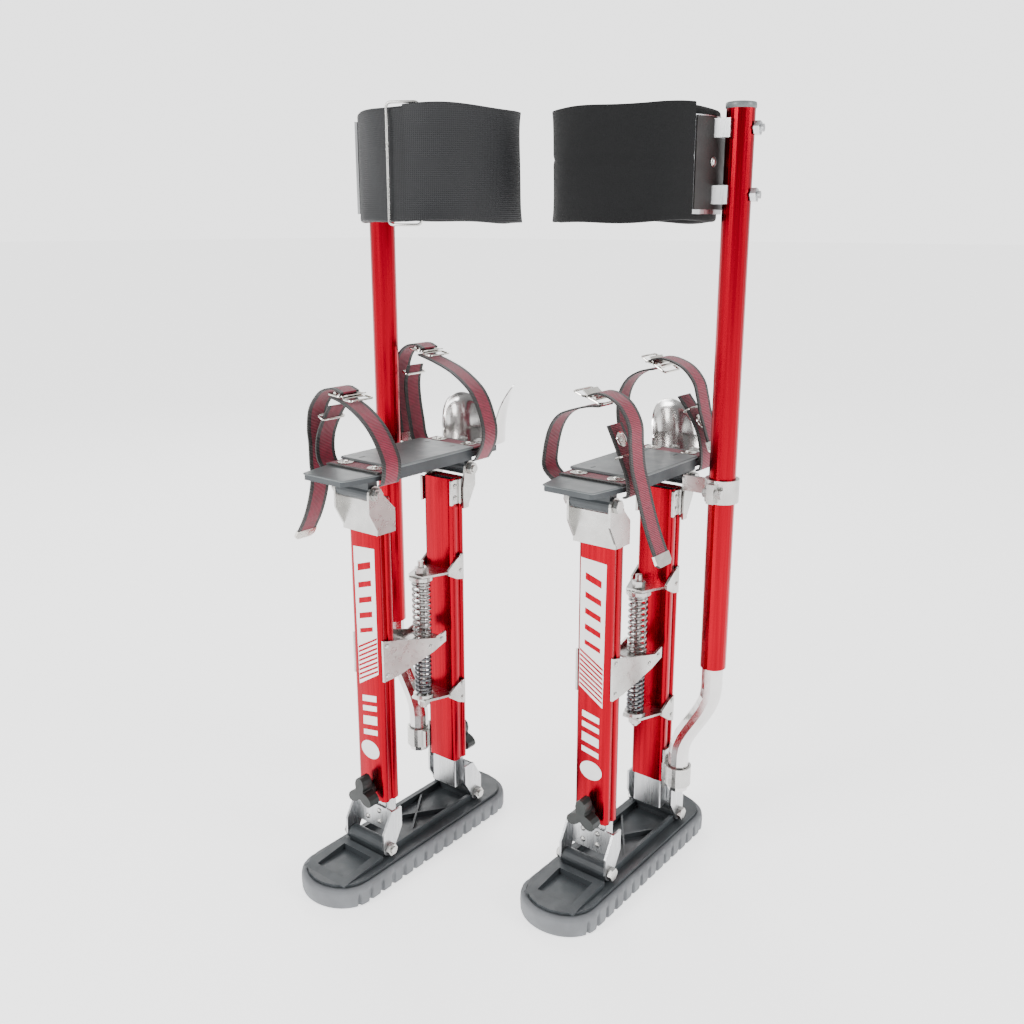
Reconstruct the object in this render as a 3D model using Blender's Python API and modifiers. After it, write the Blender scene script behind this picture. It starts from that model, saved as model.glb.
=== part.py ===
"""A pair of adjustable drywall stilts, built as separate pieces.

Each stilt is a four-bar linkage: a floor plate, two telescoping struts and a foot plate. A leg tube with
a calf band stands on the rear strut's outer side, and two springs between the struts steady the linkage.

Every piece is modelled once, for the left foot, in the stilt's own frame: +X is outward, -Y is the toe
and z = 0 is the ground. The right-foot stilt is its mirror image.
"""

import math

import bmesh
import bpy
from mathutils import Matrix, Vector

# ---------------------------------------------------------------- driving dimensions, in metres

STILT_SPACING = 0.2125       # between the two stilts' centre planes
STILT_STAGGER = 0.1095       # how far behind the right stilt the left one stands
FOOT_HEIGHT = 0.457          # top of the foot plate at the lowest setting
PIVOT_SPACING = 0.145        # front pivots to rear pivots
STRUT_INSET = 0.016          # from a pivot in to its strut's centre
HEIGHT_TRAVEL = 0.305        # how far the struts extend

GAP = 0.0003                 # between pieces that touch
RUNNING_GAP = 0.0006         # between pieces that slide or turn on each other
SHEET = 0.0025               # bracket sheet

SOLE_WIDTH = 0.090
SOLE_THICKNESS = 0.021
SOLE_TOE = 0.083             # reach past the front pivot
SOLE_HEEL = 0.058            # reach past the rear pivot
LUG_PITCH = 0.0165
LUG_GAP = 0.004
LUG_DEPTH = 0.0030
FLOOR_INSET = 0.0065         # floor plate's edge inside the sole's
FLOOR_THICKNESS = 0.0035
RAIL_RISE = 0.008            # side rails' height on the floor plate
RAIL_WALL = 0.0035
RIB_WALL = 0.0022
BARREL_RADIUS = 0.0080
BASE_PIVOT_RISE = 0.013      # base pivots above the top of the sole

STRUT_WIDTH = 0.040          # outer tube, across the stilt
STRUT_DEPTH = 0.022          # outer tube, along the foot
STRUT_WALL = 0.0022
INNER_WALL = 0.003
LOWER_EAR_HEIGHT = 0.044     # base pivot up to the top of the lower bracket
TUBE_STANDOFF = 0.048        # base pivot up to the outer tube's lower end
TOP_CLEARANCE = 0.009        # outer tube's upper end below the top pivot
INDEX_PITCH = 0.0254
INDEX_HOLE_RADIUS = 0.0035

LOWER_EAR_CLEARANCE = 0.007  # lower ears stand this far off the outer tube's sides
UPPER_EAR_CLEARANCE = 0.003  # and the upper ears this far
EAR_RADIUS = 0.0085
EAR_REACH = 0.028            # a lower ear's length along the foot
FRONT_EAR_REACH = 0.036      # and the upper ears', at the toe
REAR_EAR_REACH = 0.020       # and at the heel, behind the ribbed channels
TOP_BRACKET_HEIGHT = 0.044   # top pivot down to the bracket's lower edge

BOLT_RADIUS = 0.004
BOLT_HEAD_RADIUS = 0.0068
BOLT_HEAD = 0.005

KNOB_RADIUS = 0.019
KNOB_THICKNESS = 0.013
KNOB_RISE = 0.013            # knob's axis above the outer tube's lower end

ROD_RADIUS = 0.0035
ROD_FROM_STRUT = 0.0395      # rod's axis to the rear strut's centre
YOKE_Z = 0.242               # middle of the yoke's cross plate
YOKE_REACH = 0.014           # yoke's end past the rod's axis
UPPER_SPRING_LENGTH = 0.067
LOWER_SPRING_LENGTH = 0.065
UPPER_SPRING_RADIUS = 0.0105
LOWER_SPRING_RADIUS = 0.0095
SPRING_WIRE = 0.0016         # wire radius
SPRING_TURNS = 6
SEAT_RADIUS = 0.0135
SEAT_THICKNESS = 0.004
BRACKET_RISE = 0.016         # half the height of a spring bracket's wings
TILT_LIMIT = math.radians(12)

LEG_TUBE_RADIUS = 0.0135
LEG_TUBE_WALL = 0.0016
LEG_TUBE_OFFSET = 0.075      # from the stilt's centre plane
LEG_TUBE_FORWARD = 0.008     # ahead of the rear strut's centre
LEG_TUBE_BOTTOM = 0.237
SADDLE_Z = 0.098             # middle of the saddle bracket
SADDLE_HEIGHT = 0.046
SADDLE_PLAY = 0.005          # silver tube's foot off the saddle's sheet
BEND_BOTTOM = 0.125
BEND_TOP = 0.212
INNER_LEG_TOP = 0.520        # silver tube's upper end, hidden in the leg tube
CLAMP_HEIGHT = 0.024
CLAMP_WALL = 0.0035
CLAMP_ARM_RISE = 0.0075      # arm's top above the top pivot

BAND_RISE = 0.234            # foot plate up to the band's lower edge
BAND_HEIGHT = 0.105
BAND_RADIUS = 0.080
BAND_THICKNESS = 0.009
BAND_TURN = math.radians(10) # the band's centre, seen from the leg tube, from straight inward
CALF_PLATE_HEIGHT = 0.088
CALF_PLATE_SPREAD = math.radians(46)
TAB_HEIGHT = 0.017
TAB_SPACING = 0.0595
TAB_RISE = 0.0033            # the tabs' middle above the band's
TAB_HALF_WIDTH = 0.018
TAB_REACH = 0.005            # plate's outer face to the leg tube
CAP_OVERHANG = 0.002

DECK_WIDTH = 0.079
DECK_THICKNESS = 0.014
LIP_THICKNESS = 0.006        # toe piece and heel piece
LIP_DROP = 0.005             # and their tops below the top of the foot plate
DECK_FRONT = 0.015           # raised deck starts this far behind the front pivot
DECK_REAR = 0.0105           # and ends this far ahead of the rear pivot
TOE_REACH = 0.045            # toe piece past the front pivot
TOE_WIDTH = 0.057            # toe piece's front edge
HEEL_REACH = 0.045           # heel piece past the rear pivot
TOP_PIVOT_DROP = 0.027       # top pivots below the top of the foot plate

HEEL_CUP_RADIUS = 0.036
HEEL_CUP_HEIGHT = 0.050
HEEL_CUP_WALL = 0.002
HEEL_CUP_OVERHANG = 0.022    # cup's back past the heel piece
HEEL_CUP_FOOT = 0.0155       # cup's foot in front of its centre

STRAP_WIDTH = 0.025
STRAP_THICKNESS = 0.002
STRAP_RISE = 0.078           # loop's top above the foot plate
STRAP_INSET = 0.003          # strap's feet off the deck's edges
TOE_STRAP_BACK = 0.006       # from the front pivot
INSTEP_STRAP_BEHIND = 0.002  # from the rear pivot

# ---------------------------------------------------------------- places that follow from them

FRONT, REAR = -1, 1
PIVOT_Y = PIVOT_SPACING / 2
STRUT_Y = PIVOT_Y - STRUT_INSET
BASE_PIVOT_Z = SOLE_THICKNESS + BASE_PIVOT_RISE
TOP_PIVOT_Z = FOOT_HEIGHT - TOP_PIVOT_DROP
TUBE_BOTTOM = BASE_PIVOT_Z + TUBE_STANDOFF
TUBE_TOP = TOP_PIVOT_Z - TOP_CLEARANCE
INNER_WIDTH = STRUT_WIDTH - 2 * (STRUT_WALL + RUNNING_GAP)
INNER_DEPTH = STRUT_DEPTH - 2 * (STRUT_WALL + RUNNING_GAP)
LOWER_EAR_IN = STRUT_WIDTH / 2 + LOWER_EAR_CLEARANCE
UPPER_EAR_IN = STRUT_WIDTH / 2 + UPPER_EAR_CLEARANCE
BORE_RADIUS = BOLT_RADIUS + GAP
KNOB_Z = TUBE_BOTTOM + KNOB_RISE
ROD_Y = STRUT_Y - ROD_FROM_STRUT
SPRING_TOP = YOKE_Z + SHEET / 2 + GAP + UPPER_SPRING_LENGTH
SPRING_BOTTOM = YOKE_Z - SHEET / 2 - GAP - LOWER_SPRING_LENGTH
TOP_SHELF_Z = SPRING_TOP + SEAT_THICKNESS + 2 * GAP
BOTTOM_SHELF_Z = SPRING_BOTTOM - SEAT_THICKNESS - 2 * GAP - SHEET
SIDE_IN = STRUT_WIDTH / 2 + GAP
SIDE_OUT = SIDE_IN + SHEET
INNER_LEG_RADIUS = LEG_TUBE_RADIUS - LEG_TUBE_WALL - RUNNING_GAP
LEG_TUBE_Y = STRUT_Y - LEG_TUBE_FORWARD
LEG_FOOT_X = SIDE_OUT + INNER_LEG_RADIUS + SADDLE_PLAY
CLAMP_RADIUS = LEG_TUBE_RADIUS + GAP
BAND_BOTTOM = FOOT_HEIGHT + BAND_RISE
BAND_MIDDLE = BAND_BOTTOM + BAND_HEIGHT / 2
TAB_MIDDLE = BAND_MIDDLE + TAB_RISE
LEG_TUBE_TOP = BAND_BOTTOM + BAND_HEIGHT
CALF_PLATE_RADIUS = BAND_RADIUS + GAP
BAND_DISTANCE = CALF_PLATE_RADIUS + SHEET + TAB_REACH + LEG_TUBE_RADIUS
BAND_X = LEG_TUBE_OFFSET - BAND_DISTANCE * math.cos(BAND_TURN)
BAND_Y = LEG_TUBE_Y - BAND_DISTANCE * math.sin(BAND_TURN)
DECK_BOTTOM = FOOT_HEIGHT - DECK_THICKNESS
LIP_TOP = FOOT_HEIGHT - LIP_DROP
LIP_BOTTOM = LIP_TOP - LIP_THICKNESS
RISE_Y_FRONT = -PIVOT_Y + DECK_FRONT
RISE_Y_REAR = PIVOT_Y - DECK_REAR

# ---------------------------------------------------------------- shape helpers


def mesh_object(name, mesh):
    """Link a mesh as an object and return it."""
    made = bpy.data.objects.new(name, mesh)
    bpy.context.scene.collection.objects.link(made)
    return made


def tidy_mesh(mesh):
    """Merge doubled points and point every face outward."""
    bm = bmesh.new()
    bm.from_mesh(mesh)
    bmesh.ops.remove_doubles(bm, verts=bm.verts, dist=1e-6)
    bmesh.ops.recalc_face_normals(bm, faces=bm.faces)
    bm.to_mesh(mesh)
    bm.free()
    return mesh


def baked(made):
    """Replace an object by the mesh that its modifiers or its curve make, in the same place."""
    bpy.context.view_layer.update()
    graph = bpy.context.evaluated_depsgraph_get()
    mesh = bpy.data.meshes.new_from_object(made.evaluated_get(graph))
    mesh.transform(made.matrix_world)
    name = made.name
    bpy.data.objects.remove(made)
    return mesh_object(name, tidy_mesh(mesh))


def box(low, high):
    """A box between two corners."""
    bm = bmesh.new()
    bmesh.ops.create_cube(bm, size=1)
    size = Vector(high) - Vector(low)
    middle = (Vector(high) + Vector(low)) / 2
    bmesh.ops.transform(bm, matrix=Matrix.Translation(middle) @ Matrix.Diagonal((*size, 1)), verts=bm.verts)
    mesh = bpy.data.meshes.new("box")
    bm.to_mesh(mesh)
    bm.free()
    return mesh_object("box", mesh)


def cylinder(start, end, radius, sides=16, radius_end=None):
    """A round or polygonal bar between two points."""
    start, end = Vector(start), Vector(end)
    along = end - start
    bm = bmesh.new()
    bmesh.ops.create_cone(bm, cap_ends=True, segments=sides, radius1=radius,
                          radius2=radius if radius_end is None else radius_end, depth=along.length)
    turn = Vector((0, 0, 1)).rotation_difference(along).to_matrix().to_4x4()
    bmesh.ops.transform(bm, matrix=Matrix.Translation((start + end) / 2) @ turn, verts=bm.verts)
    mesh = bpy.data.meshes.new("cylinder")
    bm.to_mesh(mesh)
    bm.free()
    return mesh_object("cylinder", mesh)


# Each plane's matrix takes an outline's (across, up) and its normal to the stilt's axes.
PLANES = {
    "top": Matrix.Identity(4),
    "front": Matrix(((1, 0, 0, 0), (0, 0, 1, 0), (0, 1, 0, 0), (0, 0, 0, 1))),
    "side": Matrix(((0, 0, 1, 0), (1, 0, 0, 0), (0, 1, 0, 0), (0, 0, 0, 1))),
}


def slab(plane, outlines, low, high):
    """A flat sheet cut to an outline, with any further outlines as holes, from low to high."""
    curve = bpy.data.curves.new("slab", "CURVE")
    curve.dimensions = "2D"
    curve.fill_mode = "BOTH"
    curve.extrude = (high - low) / 2
    for outline in outlines:
        spline = curve.splines.new("POLY")
        spline.points.add(len(outline) - 1)
        for point, (across, up) in zip(spline.points, outline):
            point.co = (across, up, 0, 1)
        spline.use_cyclic_u = True
    made = mesh_object("slab", curve)
    made.matrix_world = PLANES[plane] @ Matrix.Translation((0, 0, (low + high) / 2))
    return baked(made)


def circle(across, up, radius, sides=12):
    """Points round a circle, as an outline."""
    turns = [2 * math.pi * (i + 0.5) / sides for i in range(sides)]
    return [(across + radius * math.cos(a), up + radius * math.sin(a)) for a in turns]


def arc(across, up, radius, start, end, steps):
    """Points along an arc, from one angle to another."""
    turns = [start + (end - start) * i / steps for i in range(steps + 1)]
    return [(across + radius * math.cos(a), up + radius * math.sin(a)) for a in turns]


def rounded(points, radius, steps=3):
    """An outline with each corner turned on an arc."""
    outline = []
    for i, corner in enumerate(points):
        here = Vector(corner)
        before = (Vector(points[i - 1]) - here).normalized()
        after = (Vector(points[(i + 1) % len(points)]) - here).normalized()
        half = before.angle(after) / 2
        centre = here + (before + after).normalized() * radius / math.sin(half)
        first = here + before * radius / math.tan(half) - centre
        last = here + after * radius / math.tan(half) - centre
        sweep = first.angle_signed(last)
        for k in range(steps + 1):
            turned = Matrix.Rotation(-sweep * k / steps, 2) @ first
            outline.append(tuple(centre + turned))
    return outline


def rectangle(left, right, low, high):
    """A rectangle's corners, as an outline."""
    return [(left, low), (right, low), (right, high), (left, high)]


def combined(target, others, operation="UNION"):
    """Join others to a piece, or cut them from it."""
    for other in others:
        step = target.modifiers.new(operation.lower(), "BOOLEAN")
        step.operation = operation
        step.object = other
        target = baked(target)
        bpy.data.objects.remove(other)
    return target


def tube(points, radius, sides_resolution=2):
    """A round bar along points."""
    curve = bpy.data.curves.new("tube", "CURVE")
    curve.dimensions = "3D"
    curve.bevel_depth = radius
    curve.bevel_resolution = sides_resolution
    curve.use_fill_caps = True
    spline = curve.splines.new("POLY")
    spline.points.add(len(points) - 1)
    for point, place in zip(spline.points, points):
        point.co = (*place, 1)
    return baked(mesh_object("tube", curve))


def turned(profile, centre, steps=24, bored=True):
    """A shape turned about an upright axis. Its profile runs down the outer side and up the bore.

    Where it isn't bored, the profile starts and ends on the axis and is left open there.
    """
    mesh = bpy.data.meshes.new("turned")
    points = [(radius, 0, z) for radius, z in profile]
    count = len(points)
    edges = [(i, (i + 1) % count) for i in range(count if bored else count - 1)]
    mesh.from_pydata(points, edges, [])
    made = mesh_object("turned", mesh)
    made.location = (*centre, 0)
    screw = made.modifiers.new("turn", "SCREW")
    screw.steps = screw.render_steps = steps
    screw.use_merge_vertices = True
    screw.merge_threshold = 0.00001
    return baked(made)


# ---------------------------------------------------------------- base


def sole_outline(inset, notched):
    """The sole's plan: half ellipses at toe and heel, straight sides with notches between the lugs."""
    half = SOLE_WIDTH / 2 - inset
    toe_round = 0.85 * half
    heel_round = 0.80 * half
    toe_y = -PIVOT_Y - SOLE_TOE + inset + toe_round
    heel_y = PIVOT_Y + SOLE_HEEL - inset - heel_round
    steps = 9
    turns = [math.pi * i / steps for i in range(steps + 1)]
    heel = [(half * math.cos(a), heel_y + heel_round * math.sin(a)) for a in turns]
    toe = [(-half * math.cos(a), toe_y - toe_round * math.sin(a)) for a in turns]
    right = []
    if notched:
        count = int((heel_y - toe_y) / LUG_PITCH)
        start = (toe_y + heel_y - (count - 1) * LUG_PITCH) / 2
        for i in range(count):
            low = start + i * LUG_PITCH - LUG_GAP / 2
            right += [(half, low), (half - LUG_DEPTH, low), (half - LUG_DEPTH, low + LUG_GAP),
                      (half, low + LUG_GAP)]
    left = [(-x, y) for x, y in reversed(right)]
    return right + heel + left + toe


def make_sole():
    """Moulded rubber sole."""
    return slab("top", [sole_outline(0, True)], 0, SOLE_THICKNESS)


def barrel(end, pivot_z, foot_z, ear_in):
    """A hinge barrel between the ears at one pivot, on a web that reaches foot_z, without its bore."""
    y = end * PIVOT_Y
    half = ear_in - GAP
    low, high = sorted((pivot_z, foot_z))
    web = box((-half, y - BARREL_RADIUS * 0.8, low), (half, y + BARREL_RADIUS * 0.8, high))
    return combined(cylinder((-half, y, pivot_z), (half, y, pivot_z), BARREL_RADIUS, 20), [web])


def pin_hole(end, pivot_z, radius=BORE_RADIUS):
    """A cutter for the bore of one pivot."""
    y = end * PIVOT_Y
    return cylinder((-SOLE_WIDTH, y, pivot_z), (SOLE_WIDTH, y, pivot_z), radius, 16)


def make_floor_plate():
    """Moulded floor plate: slab, toe ramp with a framed recess, rails, crossed ribs and two hinge barrels."""
    low = SOLE_THICKNESS + GAP
    top = low + FLOOR_THICKNESS
    half = LOWER_EAR_IN + 0.004
    rail_in = LOWER_EAR_IN - GAP - RAIL_WALL
    toe = -PIVOT_Y - SOLE_TOE + FLOOR_INSET + 0.008
    ramp_back = -PIVOT_Y - BARREL_RADIUS - 0.004
    plate = slab("top", [sole_outline(FLOOR_INSET, False)], low, top)
    ramp = slab("side", [[(toe, low + 0.002), (ramp_back, low + 0.002), (ramp_back, top + 0.006),
                          (toe, top)]], -half, half)
    recess = box((-half + 0.010, toe + 0.010, top - 0.002), (half - 0.010, ramp_back - 0.008, top + 0.02))
    inside = PIVOT_Y - BARREL_RADIUS + 0.002
    rails = []
    for side in (-1, 1):
        left, right = sorted((side * rail_in, side * (rail_in + RAIL_WALL)))
        rails.append(box((left, -inside, low + 0.001), (right, inside, top + RAIL_RISE)))
    ribs = []
    for lean in (-1, 1):
        rib = box((-RIB_WALL / 2, -PIVOT_Y, low + 0.001), (RIB_WALL / 2, PIVOT_Y, top + RAIL_RISE - 0.002))
        rib.matrix_world = Matrix.Rotation(lean * math.atan2(rail_in, inside / 2), 4, "Z")
        trim = box((-rail_in - 0.001, -inside, low), (rail_in + 0.001, inside, top + RAIL_RISE))
        ribs.append(combined(baked(rib), [trim], "INTERSECT"))
    barrels = [barrel(end, BASE_PIVOT_Z, low + 0.001, LOWER_EAR_IN) for end in (FRONT, REAR)]
    plate = combined(combined(plate, [ramp]), [recess], "DIFFERENCE")
    plate = combined(plate, rails + ribs + barrels)
    return combined(plate, [pin_hole(end, BASE_PIVOT_Z) for end in (FRONT, REAR)], "DIFFERENCE")


def make_bolt(end, pivot_z, ear_in, spacer=0):
    """A hinge bolt through two ears: hexagon head outward, past any spacer, and a nut inward."""
    y = end * PIVOT_Y
    inner = -ear_in - SHEET - GAP
    reach_out = ear_in + SHEET + GAP + spacer
    tip = inner - BOLT_HEAD - 0.002
    shank = cylinder((tip, y, pivot_z), (reach_out + 0.001, y, pivot_z), BOLT_RADIUS, 12)
    head = cylinder((reach_out, y, pivot_z), (reach_out + BOLT_HEAD, y, pivot_z), BOLT_HEAD_RADIUS, 6)
    nut = cylinder((inner, y, pivot_z), (inner - BOLT_HEAD, y, pivot_z), BOLT_HEAD_RADIUS, 6)
    return combined(shank, [head, nut])


# ---------------------------------------------------------------- struts


def strut_outline(width, depth, end, groove):
    """An extrusion's outline, centred on a strut, with a shallow groove along each side."""
    y = end * STRUT_Y
    half, deep = width / 2, depth / 2
    if not groove:
        return rounded(rectangle(-half, half, y - deep, y + deep), 0.0015, 2)
    side = [(half, y - 0.003), (half - groove, y - 0.002), (half - groove, y + 0.002), (half, y + 0.003)]
    corners = rounded(rectangle(-half, half, y - deep, y + deep), 0.003, 3)
    right = [p for p in corners if p[0] > 0]
    low = [p for p in right if p[1] < y]
    high = [p for p in right if p[1] > y]
    right = sorted(low, key=lambda p: (p[1], p[0])) + side + sorted(high, key=lambda p: (p[1], -p[0]))
    return right + [(-x, yy) for x, yy in reversed(right)]


def ear_outline(end, pivot_z, far_z, reach):
    """A bracket ear in side view: round about the pivot, then a straight blade to far_z."""
    y = end * PIVOT_Y
    up = 1 if far_z > pivot_z else -1
    back = y - end * (reach - EAR_RADIUS)
    round_end = [(y - end * EAR_RADIUS * math.cos(a), pivot_z - up * EAR_RADIUS * math.sin(a))
                 for a in [math.pi * i / 8 for i in range(9)]]
    waist = pivot_z + up * abs(far_z - pivot_z) * 0.45
    return round_end + [(y + end * EAR_RADIUS, waist), (y - end * (STRUT_INSET - STRUT_DEPTH / 2), far_z),
                        (back, far_z), (back, waist)]


def bracket(end, pivot_z, ear_in, reach, face, far_z, near_z):
    """A pressed U bracket: a web against a strut's face from far_z to near_z, and two ears to the pivot."""
    outline = ear_outline(end, pivot_z, far_z, reach)
    hole = circle(end * PIVOT_Y, pivot_z, BORE_RADIUS, 16)
    ear_out = ear_in + SHEET
    sides = [slab("side", [outline, hole], *sorted((side * ear_in, side * ear_out))) for side in (-1, 1)]
    front, back = sorted((face, face + end * SHEET))
    low, high = sorted((far_z, near_z))
    half = ear_out - 0.0005
    return combined(box((-half, front, low), (half, back, high)), sides)


def make_lower_tube(end):
    """Inner extrusion with its riveted bracket: a web on its outward face and two ears on the base pivot."""
    y = end * STRUT_Y
    bottom = BASE_PIVOT_Z + BARREL_RADIUS + 0.004
    bracket_top = BASE_PIVOT_Z + LOWER_EAR_HEIGHT - 0.003
    bore = rectangle(-INNER_WIDTH / 2 + INNER_WALL, INNER_WIDTH / 2 - INNER_WALL,
                     y - INNER_DEPTH / 2 + INNER_WALL, y + INNER_DEPTH / 2 - INNER_WALL)
    body = slab("top", [strut_outline(INNER_WIDTH, INNER_DEPTH, end, 0), bore], bottom, TUBE_TOP - 0.002)
    face = end * (STRUT_Y + INNER_DEPTH / 2)
    count = int(HEIGHT_TRAVEL / INDEX_PITCH)
    drills = []
    for i in range(count):
        z = KNOB_Z + (i + 0.5) * INDEX_PITCH
        if z < TUBE_TOP - 0.015:
            drills.append(cylinder((0, face - end * INNER_WALL * 1.5, z), (0, face + end * 0.004, z),
                                   INDEX_HOLE_RADIUS, 8))
    body = combined(body, drills, "DIFFERENCE")
    return combined(body, [bracket(end, BASE_PIVOT_Z, LOWER_EAR_IN, EAR_REACH, face - end * 0.0005,
                                   bracket_top, bottom + 0.002)])


def make_upper_tube(end):
    """Outer extrusion, grooved along both sides."""
    y = end * STRUT_Y
    bore = rectangle(-STRUT_WIDTH / 2 + STRUT_WALL, STRUT_WIDTH / 2 - STRUT_WALL,
                     y - STRUT_DEPTH / 2 + STRUT_WALL, y + STRUT_DEPTH / 2 - STRUT_WALL)
    body = slab("top", [strut_outline(STRUT_WIDTH, STRUT_DEPTH, end, 0.0009), bore], TUBE_BOTTOM, TUBE_TOP)
    face = end * (STRUT_Y + STRUT_DEPTH / 2)
    start, stop = face - end * STRUT_WALL * 1.5, face + end * 0.004
    drill = cylinder((0, start, KNOB_Z), (0, stop, KNOB_Z), BORE_RADIUS, 12)
    return combined(body, [drill], "DIFFERENCE")


def make_top_bracket(end):
    """Pressed bracket round the outer tube's upper end: a web on its outward face and two ears."""
    face = end * (STRUT_Y + STRUT_DEPTH / 2 + GAP)
    reach = FRONT_EAR_REACH if end == FRONT else REAR_EAR_REACH
    return bracket(end, TOP_PIVOT_Z, UPPER_EAR_IN, reach, face,
                   TOP_PIVOT_Z - TOP_BRACKET_HEIGHT, TOP_PIVOT_Z - BARREL_RADIUS - 0.002)


def make_knob(end):
    """Clamping knob with three wings and a screw that reaches the inner extrusion."""
    face = end * (STRUT_Y + STRUT_DEPTH / 2)
    inner = face + end * 0.006
    outer = inner + end * KNOB_THICKNESS
    outline = []
    for i in range(30):
        turn = 2 * math.pi * i / 30
        reach = KNOB_RADIUS * (0.66 + 0.34 * math.cos(3 * (turn - math.pi / 2)))
        outline.append((reach * math.cos(turn), KNOB_Z + reach * math.sin(turn)))
    wings = slab("front", [outline], *sorted((inner, outer)))
    tip = face - end * (STRUT_WALL - 0.0002)
    screw = cylinder((0, tip, KNOB_Z), (0, inner + end * 0.001, KNOB_Z), BOLT_RADIUS, 12)
    collar = cylinder((0, face + end * GAP, KNOB_Z), (0, inner + end * 0.001, KNOB_Z), 0.007, 12)
    return combined(wings, [screw, collar])


# ---------------------------------------------------------------- springs


def make_spring_yoke():
    """Bracket on the front strut: two side plates that carry the cross plate between the springs."""
    front = -STRUT_Y - STRUT_DEPTH / 2 + 0.002
    back = ROD_Y + YOKE_REACH
    outline = [(front, YOKE_Z - 0.018), (front + 0.020, YOKE_Z - 0.018), (ROD_Y - 0.006, YOKE_Z - 0.009),
               (back, YOKE_Z - 0.003), (back, YOKE_Z + 0.009), (ROD_Y, YOKE_Z + 0.005),
               (front, YOKE_Z + 0.028)]
    sides = [slab("side", [outline], *sorted((side * SIDE_IN, side * SIDE_OUT))) for side in (-1, 1)]
    play = PIVOT_SPACING * (1 - math.cos(TILT_LIMIT))
    slot = rounded(rectangle(-ROD_RADIUS - 0.001, ROD_RADIUS + 0.001, ROD_Y - ROD_RADIUS - play - 0.001,
                             ROD_Y + ROD_RADIUS + play + 0.001), 0.003, 3)
    plate = slab("top", [rectangle(-SIDE_OUT + 0.0005, SIDE_OUT - 0.0005, ROD_Y - 0.016, back), slot],
                 YOKE_Z - SHEET / 2, YOKE_Z + SHEET / 2)
    return combined(plate, sides)


def make_spring_bracket(shelf_z, up):
    """Shelf on the rear strut that holds an end of the spring rod, with two riveted wings."""
    front = ROD_Y - 0.009
    face = STRUT_Y - STRUT_DEPTH / 2 - GAP
    back = STRUT_Y + 0.006
    low, high = shelf_z, shelf_z + SHEET
    hole = circle(0, ROD_Y, ROD_RADIUS + GAP, 16)
    outline = [(-0.010, front), (0.010, front), (SIDE_OUT - 0.0005, face - 0.006), (SIDE_OUT - 0.0005, face),
               (-SIDE_OUT + 0.0005, face), (-SIDE_OUT + 0.0005, face - 0.006)]
    shelf = slab("top", [outline, hole], low, high)
    middle = (low + high) / 2
    tall, short = BRACKET_RISE * 1.1, BRACKET_RISE * 0.8
    wing = [(face - 0.008, middle - up * 0.003), (face - 0.008, middle + up * 0.003),
            (face + 0.006, middle + up * short), (back, middle + up * tall),
            (back, middle - up * short), (face + 0.006, middle - up * short * 0.8)]
    wings = [slab("side", [wing], *sorted((side * SIDE_IN, side * SIDE_OUT))) for side in (-1, 1)]
    return combined(shelf, wings)


def make_spring_rod():
    """Threaded rod with a spring seat and a nut at each end."""
    low_nut = BOTTOM_SHELF_Z - GAP
    high_nut = TOP_SHELF_Z + SHEET + GAP
    rod = cylinder((0, ROD_Y, low_nut - 0.010), (0, ROD_Y, high_nut + 0.014), ROD_RADIUS, 12)
    high_seat = SPRING_TOP + GAP
    low_seat = SPRING_BOTTOM - GAP
    ends = [
        cylinder((0, ROD_Y, high_seat), (0, ROD_Y, high_seat + SEAT_THICKNESS), SEAT_RADIUS, 20),
        cylinder((0, ROD_Y, low_seat - SEAT_THICKNESS), (0, ROD_Y, low_seat), SEAT_RADIUS - 0.002, 20),
        cylinder((0, ROD_Y, high_nut), (0, ROD_Y, high_nut + 0.007), BOLT_HEAD_RADIUS, 6),
        cylinder((0, ROD_Y, low_nut - 0.007), (0, ROD_Y, low_nut), BOLT_HEAD_RADIUS, 6),
    ]
    return combined(rod, ends)


def make_spring(low, high, radius):
    """A compression spring round the rod."""
    coil_radius = radius - SPRING_WIRE
    per_turn = 8
    count = SPRING_TURNS * per_turn
    rise = high - low - 2 * SPRING_WIRE - 2 * GAP
    points = []
    for i in range(count + 1):
        turn = 2 * math.pi * i / per_turn
        z = low + GAP + SPRING_WIRE + rise * i / count
        points.append((coil_radius * math.cos(turn), ROD_Y + coil_radius * math.sin(turn), z))
    return tube(points, SPRING_WIRE)


# ---------------------------------------------------------------- leg tube and calf band


def make_leg_tube_bracket():
    """Saddle bracket: a sheet riveted to the rear strut's outer side and a strap round the silver tube."""
    low, high = SADDLE_Z - SADDLE_HEIGHT / 2, SADDLE_Z + SADDLE_HEIGHT / 2
    front, back = STRUT_Y - STRUT_DEPTH / 2 + 0.001, STRUT_Y + STRUT_DEPTH / 2 + 0.012
    sheet = slab("side", [[(front, low), (back - 0.008, low), (back, low + 0.008), (back, high - 0.012),
                           (back - 0.010, high), (front, high)]], SIDE_IN, SIDE_OUT)
    ring_low, ring_high = SADDLE_Z - 0.011, SADDLE_Z + 0.011
    bore = INNER_LEG_RADIUS + GAP
    outer = bore + SHEET
    y = LEG_TUBE_Y
    strap = cylinder((LEG_FOOT_X, y, ring_low), (LEG_FOOT_X, y, ring_high), outer, 20)
    bridge = box((SIDE_OUT - 0.0005, y - 0.007, ring_low + 0.001), (LEG_FOOT_X, y + 0.007, ring_high - 0.001))
    hole = cylinder((LEG_FOOT_X, y, ring_low - 0.01), (LEG_FOOT_X, y, ring_high + 0.01), bore, 24)
    return combined(combined(sheet, [strap, bridge]), [hole], "DIFFERENCE")


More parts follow.
